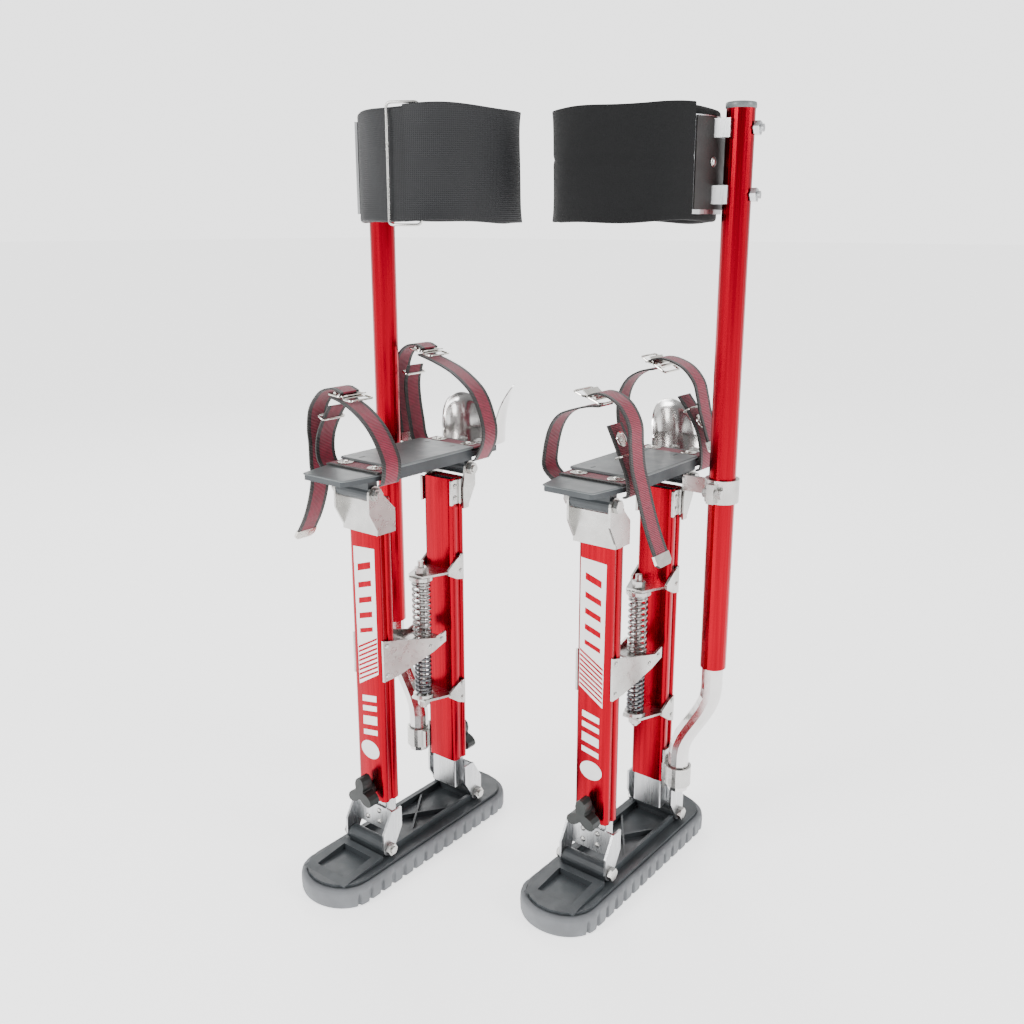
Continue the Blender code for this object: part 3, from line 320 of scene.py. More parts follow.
def strut_skin(end):
    """A strut's outer skin, z 82 to 421 mm: a rounded 40 x 22 mm section with a groove on each side."""
    half, middle = 0.0202, end * 0.0565
    face = [(0.0, -0.0112), (half - 0.0045, -0.0112), (half - 0.0020, -0.0106), (half - 0.0004, -0.0088),
            (half, -0.0070), (half, -0.0052), (half - 0.0003, -0.0045), (half - 0.0018, -0.0040),
            (half - 0.0018, 0.0008), (half - 0.0003, 0.0013), (half, 0.0020), (half, 0.0070),
            (half - 0.0004, 0.0088), (half - 0.0020, 0.0106), (half - 0.0045, 0.0112), (0.0, 0.0112)]
    right = np.array(face)
    right[:, 1] *= -end
    left = right[::-1] * (-1, 1)
    outer = np.vstack([right, left[1:-1]])
    inner = outer * (0.86, 0.76)
    rings = []
    for ring, z in ((inner, 0.0820), (outer, 0.0820), (outer, 0.4210), (inner, 0.4210)):
        rings.append(np.column_stack([ring[:, 0], middle + ring[:, 1], np.full(len(ring), z)]))
    rings.append(rings[0])
    points, faces = loft(np.array(rings[:4]), capped=False)
    size = len(outer)
    for i in range(size):
        j = (i + 1) % size
        faces.append([3 * size + i, 3 * size + j, j, i])
    return points, faces


for side in STILTS:
    for end, place in ((-1, "front"), (1, "rear")):
        skin = piece(f"{place}_strut_skin", side, f"{place}_upper", strut_skin(end), red_anodised, 50)
        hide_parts(f"{side}_{place}_upper_tube")


def lathe(profile, centre, axis=(0, 0, 1), sides=24):
    """A turned shape: profile pairs (radius, distance along the axis) from one end to the other."""
    axis = Vector(axis).normalized()
    across = axis.orthogonal().normalized()
    other = axis.cross(across)
    turns = np.arange(sides) * 2 * np.pi / sides
    circle = np.outer(np.cos(turns), across) + np.outer(np.sin(turns), other)
    rings = [np.array(centre) + np.array(axis) * along + circle * max(radius, 1e-5)
             for radius, along in profile]
    return loft(np.array(rings))


# Grey moulded caps press into the leg tubes' upper ends.
for side in STILTS:
    cap = lathe([(0.0100, 0.7940), (0.0141, 0.7942), (0.0144, 0.7948), (0.0144, 0.7985), (0.0138, 0.7996),
                 (0.0100, 0.8002)], (0.075, 0.0485, 0))
    piece("leg_tube_cap", side, "leg_tube_assembly", cap, cap_and_painted_lit_top_plastic)

# ---------------------------------------------------------------- decals on the front struts
# White vinyl decals with slanted red hatching and plain bars, stuck on the struts' outward faces.
# They carry no words or marks.

# White vinyl, slightly glossy.
white_vinyl = moulded("white_vinyl", "#F4F2F1", "#ECEAE9", 0.35, 0.002, 0.00002, 0.2)


def decal_shapes():
    """The decal as flat sheets on the face y = -67.7 mm: a white field with slanted edges, red bars on it."""
    face = -0.0565 - 0.0112
    field = plate([(-0.0165, 0.2320), (0.0125, 0.2140), (0.0140, 0.3680), (-0.0165, 0.3700)],
                  face - 0.00022, face, 0.00005, "front")
    bars = []
    for z in np.arange(0.2230, 0.2630, 0.0052):
        bars.append([(-0.0160, z + 0.0115), (0.0120, z - 0.0045), (0.0120, z - 0.0022),
                     (-0.0160, z + 0.0138)])
    for z, height in ((0.345, 0.012), (0.326, 0.010), (0.309, 0.010), (0.292, 0.010), (0.276, 0.008)):
        bars.append([(-0.0105, z + 0.003), (0.0085, z - 0.003), (0.0085, z - 0.003 + height * 0.62),
                     (-0.0105, z + 0.003 + height * 0.62)])
    red = joined(*[plate(bar, face - 0.00036, face - 0.00015, 0.00003, "front") for bar in bars])
    small = joined(*[plate([(-0.012, z + 0.002), (0.009, z - 0.002), (0.009, z + size - 0.002),
                            (-0.012, z + size + 0.002)], face - 0.00022, face, 0.00005, "front")
                     for z, size in ((0.197, 0.007), (0.186, 0.006), (0.170, 0.010), (0.158, 0.006))])
    turn = np.linspace(0, 2 * np.pi, 33)[:-1]
    badge = plate(np.column_stack([0.0135 * np.cos(turn), 0.1400 + 0.0105 * np.sin(turn)]),
                  face - 0.00022, face, 0.00005, "front")
    return joined(field, small, badge), red


for side in STILTS:
    white, red = decal_shapes()
    piece("decal", side, "front_upper", white, white_vinyl)
    piece("decal_bars", side, "front_upper", red, red_anodised)

# ---------------------------------------------------------------- brackets, bolts and rivets
# Pressed steel brackets, zinc plated, held by domed aluminium rivets and hexagon bolts.
# The CAD solids are shown with the plated finish; rivet heads and pressed ribs are added here.

# Black-green nylon of the clamping knobs.
black_plastic = moulded("black_plastic", "#1F2523", "#151918", 0.38, 0.0010, 0.00010)

FINISHES = {
    "floor_plate": dark_plastic, "foot_plate": dark_plastic, "front_base_bolt": zinc_steel,
    "rear_base_bolt": zinc_steel, "front_lower_tube": bare_aluminium, "rear_lower_tube": bare_aluminium,
    "front_top_bracket": zinc_steel, "spring_yoke": zinc_steel, "rear_top_bracket": zinc_steel,
    "rear_top_bolt": zinc_steel, "spring_rod": zinc_steel, "spring_top_bracket": zinc_steel,
    "spring_bottom_bracket": zinc_steel, "leg_tube_bracket": zinc_steel, "lower_leg_tube": polished_aluminium,
    "tube_clamp": zinc_steel, "leg_tube": red_anodised, "calf_bracket": bare_aluminium,
    "front_top_bolt": zinc_steel, "front_knob": black_plastic, "rear_knob": black_plastic,
}
for name, finish in FINISHES.items():
    for side in STILTS:
        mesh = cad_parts[f"{side}_{name}"].data
        mesh.materials.clear()
        mesh.materials.append(finish)


def rivet(centre, axis, radius=0.0032, rise=0.0016):
    """A domed head: a quarter circle turned about the axis, its base sunk 0.3 mm."""
    turn = np.linspace(0, np.pi / 2, 6)
    profile = [(radius, -0.0003)] + [(radius * math.cos(a), rise * math.sin(a)) for a in turn]
    return lathe(profile, centre, axis, 16)


def washer(centre, axis, radius=0.0085, thickness=0.0012):
    """A flat washer with eased edges and a low screw head."""
    return joined(lathe([(radius - 0.0004, 0), (radius, 0.0004), (radius, thickness - 0.0003),
                         (radius - 0.0005, thickness), (0.0042, thickness)], centre, axis, 24),
                  rivet(np.array(centre) + np.array(axis) * thickness, axis, 0.0036, 0.0015))


def strut_rivets(end):
    """Four rivet heads on the lower bracket's web."""
    face = end * (0.0565 + 0.0082 + 0.0020)
    shapes = [rivet((u, face, z), (0, end, 0)) for u in (-0.009, 0.009) for z in (0.056, 0.069)]
    return joined(*shapes)


def wing_rivets(z, up):
    """Two rivet heads on each wing of a spring bracket, on the rear strut's sides."""
    return joined(*[rivet((side * 0.0228, y, z + up * rise), (side, 0, 0), 0.0026, 0.0014)
                    for side in (-1, 1) for y, rise in ((0.0575, 0.010), (0.0575, -0.007))])


def yoke_rivets():
    """Rivets at the yoke's flange and at its far end, on both sides."""
    spots = [(-0.060, 0.263), (-0.060, 0.230), (0.006, 0.2405), (0.024, 0.2440)]
    return joined(*[rivet((side * 0.0228, y, z), (side, 0, 0), 0.0028, 0.0015)
                    for side in (-1, 1) for y, z in spots])


def channel_ribs():
    """The rear top bracket's clip: a ribbed channel on each side with two rivets in its trough."""
    shapes = []
    for side in (-1, 1):
        for y, deep in ((0.0450, 0.0030), (0.0580, 0.0030), (0.0640, 0.0018)):
            outer = side * (0.0203 + deep)
            low, high = sorted((side * 0.0203, outer))
            rib = rounded_outline([(y - 0.0016, 0.3920), (y + 0.0016, 0.3920), (y + 0.0016, 0.4200),
                                   (y - 0.0016, 0.4200)], 0.0008, 3)
            shapes.append(plate(rib, low, high, 0.0004, "side"))
        low, high = sorted((side * 0.0203, side * 0.0212))
        shapes.append(plate([(0.0455, 0.3925), (0.0580, 0.3925), (0.0580, 0.4195), (0.0455, 0.4195)],
                            low, high, 0.0002, "side"))
        shapes += [rivet((side * 0.0213, 0.0515, z), (side, 0, 0), 0.0030, 0.0016) for z in (0.4125, 0.3995)]
    return joined(*shapes)


for side in STILTS:
    for end, place in ((-1, "front"), (1, "rear")):
        piece(f"{place}_bracket_rivets", side, f"{place}_lower", strut_rivets(end), zinc_steel)
    piece("upper_wing_rivets", side, "rear_upper", wing_rivets(0.322, 1), zinc_steel)
    piece("lower_wing_rivets", side, "rear_upper", wing_rivets(0.171, -1), zinc_steel)
    piece("yoke_rivets", side, "front_upper", yoke_rivets(), zinc_steel)
    piece("rear_channel", side, "rear_upper", channel_ribs(), zinc_steel)
    saddle = joined(*[rivet((0.0228, y, z), (1, 0, 0), 0.0030, 0.0016)
                      for y, z in ((0.053, 0.084), (0.053, 0.112), (0.074, 0.086), (0.070, 0.110))])
    piece("saddle_rivets", side, "rear_upper", saddle, zinc_steel)

# ---------------------------------------------------------------- compression springs
# Round wire coils with closed ends, threaded on the rod either side of the yoke.
# They ride with the rear strut.


def coil(low, high, radius, wire, turns):
    """A spring: a helix whose pitch is the wire's thickness for the first and last turn and even between."""
    t = np.linspace(0, 1, int(turns * 20) + 1)
    ends = 1.15 / turns
    even = np.clip((t - ends) / (1 - 2 * ends), 0, 1)
    closed = 2.1 * wire
    height = (high - low) - 2 * wire - 2 * closed
    z = low + wire + closed * (np.clip(t / ends, 0, 1) + np.clip((t - 1 + ends) / ends, 0, 1)) + height * even
    angle = 2 * np.pi * turns * t
    path = np.column_stack([(radius - wire) * np.cos(angle), 0.017 + (radius - wire) * np.sin(angle), z])
    return rod(path, wire, 8)


def rod(path, radius, sides=10):
    """A round bar along a path: each ring stands square to the path, carried along without twist."""
    path = np.asarray(path, float)
    tangent = np.gradient(path, axis=0)
    tangent /= np.linalg.norm(tangent, axis=1)[:, None]
    across = np.array(Vector(tangent[0]).orthogonal().normalized())
    turns = np.arange(sides) * 2 * np.pi / sides
    rings = []
    for point, forward in zip(path, tangent):
        across = across - forward * np.dot(across, forward)
        across /= np.linalg.norm(across)
        other = np.cross(forward, across)
        rings.append(point + radius * (np.outer(np.cos(turns), across) + np.outer(np.sin(turns), other)))
    return loft(np.array(rings))


for side in STILTS:
    upper = piece("upper_coil", side, "rear_upper", coil(0.2436, 0.3103, 0.0108, 0.00155, 11),
                  spring_steel, 60)
    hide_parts(f"{side}_upper_spring")
    lower = piece("lower_coil", side, "rear_upper", coil(0.1757, 0.2404, 0.0098, 0.00150, 13),
                  dark_spring_steel, 60)
    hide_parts(f"{side}_lower_spring")

# ---------------------------------------------------------------- heel cups
# Polished aluminium sheet, 1.8 mm, bent up from the heel piece into two round-topped lobes.
# Each is held by two screws through its foot.


CUP_CENTRE = 0.1060
CUP_RADIUS = 0.0375


def heel_cup(sign):
    """A wall on a 37.5 mm radius: two rounded lobes 58 degrees either side of the heel and a low rim between.
    Height is 9 mm plus a half-ellipse bump; each lobe leans out by 8.5 mm times the square of its height over
    60 mm, and its top curls. Both stilts use one pressing, so the taller lobe is on the +X side of both."""
    turn = np.linspace(math.radians(-16), math.radians(196), 121)
    from_heel = turn - np.pi / 2
    bumps = np.zeros_like(turn)
    for middle, tall in ((-58, 0.060 if sign > 0 else 0.043), (58, 0.043 if sign > 0 else 0.060)):
        share = (from_heel - math.radians(middle)) / math.radians(43)
        bumps = np.maximum(bumps, tall * np.sqrt(np.clip(1 - share ** 2, 0, 1)))
    low = 0.4525
    top = 0.4615 + bumps * 0.92
    rise = np.linspace(0, 1, 18)[:, None]
    z = low + rise * (top - low)[None]
    lean = 0.0085 * ((z - low) / 0.060) ** 2 + 0.0015 * np.exp(-((z - top[None]) / 0.004) ** 2) * (bumps > 0)
    skins = []
    for radius in (CUP_RADIUS, CUP_RADIUS - 0.0018):
        r = radius + lean
        skins.append(np.stack([r * np.cos(turn), CUP_CENTRE + r * np.sin(turn), z], -1))
    outer, inner = skins
    rings = np.concatenate([outer, inner[::-1]], 0).transpose(1, 0, 2)
    foot = np.linspace(0, np.pi, 33)
    edge = CUP_RADIUS - 0.0006
    arc = np.column_stack([edge * np.cos(foot), CUP_CENTRE + edge * np.sin(foot)])
    outline = np.vstack([[(CUP_RADIUS - 0.002, 0.0885)], arc, [(-CUP_RADIUS + 0.002, 0.0885)]])
    return joined(loft(rings), plate(outline, 0.4522, 0.4541, 0.0004))


for side in STILTS:
    cup = piece("heel_cup_sheet", side, "foot_plate_assembly", heel_cup(STILTS[side][0]),
                polished_aluminium, 40)
    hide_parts(f"{side}_heel_cup")
    screws = joined(*[washer((u, 0.103, 0.4541), (0, 0, 1), 0.0060, 0.0008) for u in (-0.012, 0.012)])
    piece("heel_cup_screws", side, "foot_plate_assembly", screws, zinc_steel)

# ---------------------------------------------------------------- webbing straps
# Crimson polyester webbing, 25 mm wide with black selvedges and raised cross ribs every 1.6 mm.
# Each loop crosses the foot plate, rises both sides and meets at a nickel buckle; its tail hangs free.


def webbing_material():
    """Crimson webbing: cloth.x runs across from 0 to 1 and cloth.y along it in metres. Selvedges within
    17 percent of each edge are black; ribs are a sine along the length."""
    made, tree, shader = new_material("crimson_webbing", {"Metallic": 0.0, "Roughness": 0.68,
                                                          "Sheen Weight": 0.35, "Sheen Roughness": 0.5,
                                                          "Specular IOR Level": 0.3})
    place = add_node(tree, "ShaderNodeAttribute", attribute_name="cloth")
    split = add_node(tree, "ShaderNodeSeparateXYZ", {0: place.outputs["Vector"]})
    offset = add_node(tree, "ShaderNodeMath", {0: split.outputs[0], 1: 0.5}, operation="SUBTRACT")
    distance = add_node(tree, "ShaderNodeMath", {0: offset.outputs[0]}, operation="ABSOLUTE")
    wander = add_node(tree, "ShaderNodeMath", {0: noise(tree, 0.004, 2), 1: 0.03}, operation="MULTIPLY")
    edge = add_node(tree, "ShaderNodeMath", {0: distance.outputs[0], 1: wander.outputs[0]}, operation="ADD")
    border = add_node(tree, "ShaderNodeMapRange", {"Value": edge.outputs[0], 1: 0.335, 2: 0.355})
    turns = add_node(tree, "ShaderNodeMath", {0: split.outputs[1], 1: 2 * math.pi / 0.0016},
                     operation="MULTIPLY")
    ribs = add_node(tree, "ShaderNodeMath", {0: turns.outputs[0]}, operation="SINE")
    # The crimson darkens in the troughs between the ribs: painted shade, multiplied by a random mottle.
    shade = add_node(tree, "ShaderNodeMapRange", {"Value": ribs.outputs[0], 1: -1.0, 2: 1.0})
    painted_rib_shade_and_mottle = add_node(tree, "ShaderNodeMath", {0: shade.outputs[0], 1: noise(tree, 0.006, 2)},
                       operation="MULTIPLY")
    crimson = mixed(tree, painted_rib_shade_and_mottle.outputs[0], "#5E0820", "#C01448")
    tree.links.new(mixed(tree, border.outputs[0], crimson, "#1C1A19"), shader.inputs["Base Color"])
    bumped(tree, shader, ribs.outputs[0], 0.0003, 0.8)
    return made


crimson_webbing = webbing_material()


def smooth_path(points, count=150):
    """A smooth path through points: a Catmull-Rom cubic spline, resampled at even lengths."""
    points = np.asarray(points, float)
    padded = np.vstack([2 * points[0] - points[1], points, 2 * points[-1] - points[-2]])
    out = []
    for i in range(1, len(padded) - 2):
        t = np.linspace(0, 1, 24, endpoint=False)[:, None]
        a, b, c, d = padded[i - 1], padded[i], padded[i + 1], padded[i + 2]
        out.append(0.5 * (2 * b + (c - a) * t + (2 * a - 5 * b + 4 * c - d) * t ** 2
                          + (3 * b - a - 3 * c + d) * t ** 3))
    out = np.vstack(out + [padded[-2:-1]])
    length = np.concatenate([[0], np.cumsum(np.linalg.norm(np.diff(out, axis=0), axis=1))])
    even = np.linspace(0, length[-1], count)
    return np.column_stack([np.interp(even, length, out[:, k]) for k in range(out.shape[1])])


def webbing(control, width=0.025, thickness=0.0017):
    """A strap along control points (u, y, z). Its width lies along y, and its face looks square to the path
    in the u-z plane. Returns the shape and its cloth coordinates."""
    path = smooth_path(control)
    tangent = np.gradient(path, axis=0)
    flat = np.column_stack([tangent[:, 2], np.zeros(len(path)), -tangent[:, 0]])
    flat /= np.maximum(np.linalg.norm(flat, axis=1), 1e-9)[:, None]
    across = np.cross(flat, tangent)
    across /= np.linalg.norm(across, axis=1)[:, None]
    length = np.concatenate([[0], np.cumsum(np.linalg.norm(np.diff(path, axis=0), axis=1))])
    shares = np.linspace(-0.5, 0.5, 9)
    top = path[:, None] + across[:, None] * (shares * width)[None, :, None] + flat[:, None] * thickness / 2
    low = top - flat[:, None] * thickness
    rings = np.concatenate([top, low[:, ::-1]], 1)
    share = np.concatenate([shares, shares[::-1]]) + 0.5
    cloth = np.zeros((*rings.shape[:2], 3))
    cloth[..., 0] = share[None]
    cloth[..., 1] = length[:, None]
    return loft(rings), cloth.reshape(-1, 3)


def frame_ring(centre, across, along, width, depth, wire, corner=0.003):
    """A closed rectangular wire ring about a centre, spanned by two unit directions."""
    outline = rounded_outline([(-width / 2, -depth / 2), (width / 2, -depth / 2), (width / 2, depth / 2),
                               (-width / 2, depth / 2)], corner, 6)
    across, along = np.array(across, float), np.array(along, float)
    path = np.array(centre) + outline[:, :1] * across + outline[:, 1:] * along
    path = np.vstack([path, path[:1]])
    normal = np.cross(across, along)
    tangent = np.roll(path[:-1], -1, 0) - np.roll(path[:-1], 1, 0)
    tangent /= np.linalg.norm(tangent, axis=1)[:, None]
    out = np.cross(tangent, normal)
    turns = np.arange(8) * np.pi / 4
    rings = (path[:-1, None] + wire * (np.cos(turns)[None, :, None] * out[:, None]
                                       + np.sin(turns)[None, :, None] * normal))
    rings = np.concatenate([rings, rings[:1]])
    points, faces = loft(rings, capped=False)
    size = rings.shape[1]
    last = (len(rings) - 1) * size
    faces = [[i - last if i >= last else i for i in face] for face in faces]
    return points[:last], faces


def buckle(place, slope, y):
    """A cam buckle: a wire ring, a toothed plate across it and a folded body, tilted by slope in the u-z
    plane and centred on y."""
    along = np.array([math.cos(slope), 0, math.sin(slope)])
    across = np.array([0.0, 1.0, 0.0])
    up = np.array([-math.sin(slope), 0, math.cos(slope)])
    centre = np.array([place[0], y, place[1]])
    shapes = [frame_ring(centre + up * 0.0035, across, along, 0.031, 0.017, 0.0012),
              frame_ring(centre - along * 0.018 + up * 0.002, across, along, 0.030, 0.012, 0.0011),
              rod([centre + up * 0.0052 - across * 0.0145, centre + up * 0.0052,
                   centre + up * 0.0052 + across * 0.0145], 0.0019, 10)]
    for offset, tilt in ((-0.006, 0.55), (-0.012, -0.35)):
        middle = centre + along * offset + up * 0.004
        lean = along * math.cos(tilt) + up * math.sin(tilt)
        thick = np.cross(lean, across)
        corners = [(-0.0125, -0.005), (0.0125, -0.005), (0.0125, 0.004), (0.008, 0.0055), (-0.008, 0.0055),
                   (-0.0125, 0.004)]
        low = np.array([middle + a * across + b * lean for a, b in corners])
        shapes.append(loft(np.array([low, low + thick * 0.0011])))
    return joined(*shapes)


# The two sides of every strap start at these (u, z) points.
INNER_START = [(-0.0370, 0.4415), (-0.0412, 0.4440)]
OUTER_START = [(0.0370, 0.4415), (0.0415, 0.4440)]
STRAPS = {
    ("right", "toe_strap"): {
        "y": -0.0665,
        "inner": [(-0.0440, 0.4570), (-0.0425, 0.4684), (-0.0340, 0.4842), (-0.0220, 0.4988),
                  (-0.0056, 0.5109), (0.0125, 0.5191), (0.0260, 0.5225)],
        "outer": [(0.0510, 0.4580), (0.0500, 0.4790), (0.0400, 0.4990), (0.0300, 0.5130)],
        "tail": [(0.0090, 0.5285), (0.0200, 0.5318), (0.0330, 0.5300), (0.0445, 0.5235), (0.0570, 0.5080),
                 (0.0610, 0.4880), (0.0600, 0.4710), (0.0600, 0.4500), (0.0590, 0.4360), (0.0640, 0.4140),
                 (0.0740, 0.3900), (0.0880, 0.3680)],
        "buckle": ((0.0180, 0.5225), 0.10), "slide": ((0.0400, 0.5010), -1.05),
        "snap": (0.0478, 0.4830, -1.25)},
    ("right", "instep_strap"): {
        "y": 0.0745,
        "inner": [(-0.0500, 0.4600), (-0.0520, 0.4759), (-0.0475, 0.4930), (-0.0400, 0.5090),
                  (-0.0290, 0.5215), (-0.0080, 0.5350), (0.0160, 0.5440), (0.0400, 0.5505)],
        "outer": [(0.0520, 0.4550), (0.0560, 0.4742), (0.0600, 0.4968), (0.0610, 0.5180), (0.0560, 0.5370)],
        "tail": [(0.0310, 0.5580), (0.0420, 0.5615), (0.0560, 0.5590), (0.0690, 0.5480), (0.0760, 0.5290),
                 (0.0760, 0.5100), (0.0725, 0.4920), (0.0690, 0.4720), (0.0665, 0.4540)],
        "buckle": ((0.0420, 0.5525), 0.15), "slide": ((0.0585, 0.5290), -1.20),
        "snap": (0.0612, 0.5030, -1.45)},
    ("left", "toe_strap"): {
        "y": -0.0665,
        "inner": [(-0.0555, 0.4560), (-0.0558, 0.4729), (-0.0500, 0.4960), (-0.0395, 0.5110),
                  (-0.0250, 0.5180), (-0.0050, 0.5235), (0.0080, 0.5250)],
        "outer": [(0.0400, 0.4600), (0.0330, 0.4770), (0.0250, 0.4940), (0.0180, 0.5080)],
        "tail": [(-0.0060, 0.5330), (0.0060, 0.5372), (0.0190, 0.5352), (0.0320, 0.5270), (0.0420, 0.5105),
                 (0.0440, 0.4916), (0.0465, 0.4700), (0.0530, 0.4480), (0.0590, 0.4280), (0.0670, 0.4060),
                 (0.0760, 0.3860)],
        "buckle": ((0.0030, 0.5275), -0.35), "slide": ((0.0330, 0.4800), -1.15),
        "snap": (0.0250, 0.4940, -1.15)},
    ("left", "instep_strap"): {
        "y": 0.0745,
        "inner": [(-0.0540, 0.4620), (-0.0610, 0.4860), (-0.0600, 0.5110), (-0.0500, 0.5290),
                  (-0.0340, 0.5390), (-0.0180, 0.5425)],
        "outer": [(0.0415, 0.4600), (0.0370, 0.4800), (0.0270, 0.4990), (0.0130, 0.5170)],
        "tail": [(-0.0260, 0.5500), (-0.0120, 0.5545), (0.0030, 0.5530), (0.0190, 0.5460), (0.0310, 0.5330),
                 (0.0360, 0.5180), (0.0400, 0.5020), (0.0460, 0.4850), (0.0520, 0.4680)],
        "buckle": ((-0.0110, 0.5420), -0.50), "slide": ((0.0250, 0.5040), -0.95),
        "snap": (0.0330, 0.4910, -1.00)},
}

# Nickel plate on the buckles, slides, snaps and strap ends.
nickel = metal("nickel_plate", "#DEDCD6", "#C9C6BF", 0.10, 0.24, (1, 1, 1), 0.01, 0.00002)

for (side, name), strap in STRAPS.items():
    y = strap["y"]
    parts, cloths = [], []
    crossing = [(u, y, 0.4537 if "toe" in name else 0.4552) for u in np.linspace(-0.0365, 0.0365, 5)]
    for control in ([(u, y, z) for u, z in INNER_START + strap["inner"]],
                    [(u, y, z) for u, z in OUTER_START + strap["outer"]],
                    [(u, y - 0.002, z) for u, z in strap["tail"]], crossing):
        shape, cloth = webbing(control)
        parts.append(shape)
        cloths.append(cloth)
    band = piece(f"{name}_webbing", side, "foot_plate_assembly", joined(*parts), crimson_webbing, 50,
                 np.vstack(cloths))
    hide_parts(f"{side}_{name}")
    place, slope = strap["buckle"]
    slide, lean = strap["slide"]
    along = np.array([math.cos(lean), 0, math.sin(lean)])
    square = np.array([-math.sin(lean), 0, math.cos(lean)])
    u, z, tilt = strap["snap"]
    out = np.array([-math.sin(tilt), 0, math.cos(tilt)])
    before, tip = np.array(strap["tail"][-2:])
    fall = (tip - before) / np.linalg.norm(tip - before)
    end = np.array([tip[0], y - 0.002, tip[1]])
    fall3 = np.array([fall[0], 0, fall[1]])
    face = np.array([fall[1], 0, -fall[0]])
    sheet = np.array([end + a * np.array([0.0, 1.0, 0.0]) + b * fall3 - face * 0.0014
                      for a, b in ((-0.0132, -0.006), (0.0132, -0.006), (0.0132, 0.0025), (0.009, 0.006),
                                   (-0.009, 0.006), (-0.0132, 0.0025))])
    fittings = [
        buckle(place, slope, y),
        frame_ring(np.array([slide[0], y, slide[1]]), (0, 1, 0), square, 0.029, 0.0080, 0.0011, 0.002),
        lathe([(0.0072, 0.0009), (0.0076, 0.0014), (0.0074, 0.0020), (0.0056, 0.0023), (0.0050, 0.0019),
               (0.0030, 0.0019), (0.0026, 0.0028), (0.0010, 0.0031)], (u, y, z), out, 24),
        loft(np.array([sheet, sheet + face * 0.0028])),
    ]
    for edge in (-0.0215, 0.0215):
        fittings.append(washer((edge, y, 0.4546 if "toe" in name else 0.4561), (0, 0, 1), 0.0088))
    made = piece(f"{name}_fittings", side, "foot_plate_assembly", joined(*fittings), nickel, 30)

# ---------------------------------------------------------------- calf bands
# Foam-padded bands, about 103 mm tall. The right one is black nylon, passed through a wire loop and folded
# back on itself; the left one is closed by a wide hook-and-loop flap.


def cloth_material(name, light, dark, pitch, relief, roughness, sheen, fuzz):
    """Black cloth: a diagonal basket weave, the product of two sines over cloth.x and cloth.y in metres. Fuzz
    mixes in a fine nap."""
    made, tree, shader = new_material(name, {"Metallic": 0.0, "Roughness": roughness, "Sheen Weight": sheen,
                                             "Sheen Roughness": 0.45, "Specular IOR Level": 0.35})
    place = add_node(tree, "ShaderNodeAttribute", attribute_name="cloth")
    turned = add_node(tree, "ShaderNodeMapping", {"Vector": place.outputs["Vector"],
                                                  "Rotation": (0, 0, math.radians(45)),
                                                  "Scale": (2 * math.pi / pitch, 2 * math.pi / pitch, 1)})
    split = add_node(tree, "ShaderNodeSeparateXYZ", {0: turned.outputs[0]})
    first = add_node(tree, "ShaderNodeMath", {0: split.outputs[0]}, operation="SINE")
    second = add_node(tree, "ShaderNodeMath", {0: split.outputs[1]}, operation="SINE")
    weave = add_node(tree, "ShaderNodeMath", {0: first.outputs[0], 1: second.outputs[0]},
                     operation="MULTIPLY")
    weave = add_node(tree, "ShaderNodeMapRange", {"Value": weave.outputs[0], 1: -1.0, 2: 1.0})
    grain = noise(tree, 0.0011, 3)
    height = add_node(tree, "ShaderNodeMix", {0: fuzz, 2: weave.outputs[0], 3: grain}, data_type="FLOAT")
    # The colour follows the weave's height: painted highlight on the raised yarns, painted shade in the
    # hollows; the nap's grain is random tone.
    tree.links.new(mixed(tree, height.outputs[0], dark, light), shader.inputs["Base Color"])
    bumped(tree, shader, height.outputs[0], relief)
    return made


# Black woven nylon with a soft sheen; its weave repeats every 2.6 mm.
black_nylon = cloth_material("black_nylon", "#202124", "#0B0C0D", 0.0026, 0.0004, 0.58, 0.06, 0.12)
# Black hook-and-loop nap.
black_nap = cloth_material("black_hook_and_loop", "#141516", "#060607", 0.0022, 0.0006, 0.95, 0.08, 0.9)
# Dark brown-black leather pad.
leather = moulded("dark_leather", "#1B1514", "#110D0C", 0.55, 0.0012, 0.0003)

CALF = (-0.02476, 0.03091)
POLE_ANGLE = math.radians(10)


def band_radius(turn, height, style):
    """The outer face's distance from the band's centre: 79.6 mm, pushed out where the top and bottom edges
    curl, with soft dents. height runs from -1 at the bottom to 1 at the top."""
    away = np.abs((turn - POLE_ANGLE + np.pi) % (2 * np.pi) - np.pi)
    free = np.clip((away - 0.85) / 0.5, 0, 1)
    other_stilt = np.clip((away - 2.3) / 0.5, 0, 1)
    curl = np.abs(height) ** 5 * (0.0034 + 0.0016 * np.sin(turn * 2 + style)) * (1 - 0.75 * other_stilt)
    dents = 0.0009 * np.sin(3 * turn + 1.1 * height + style) + 0.0005 * np.sin(7 * turn - 2 * height + style)
    return 0.0796 + (curl + dents * (1 - 0.6 * other_stilt)) * free


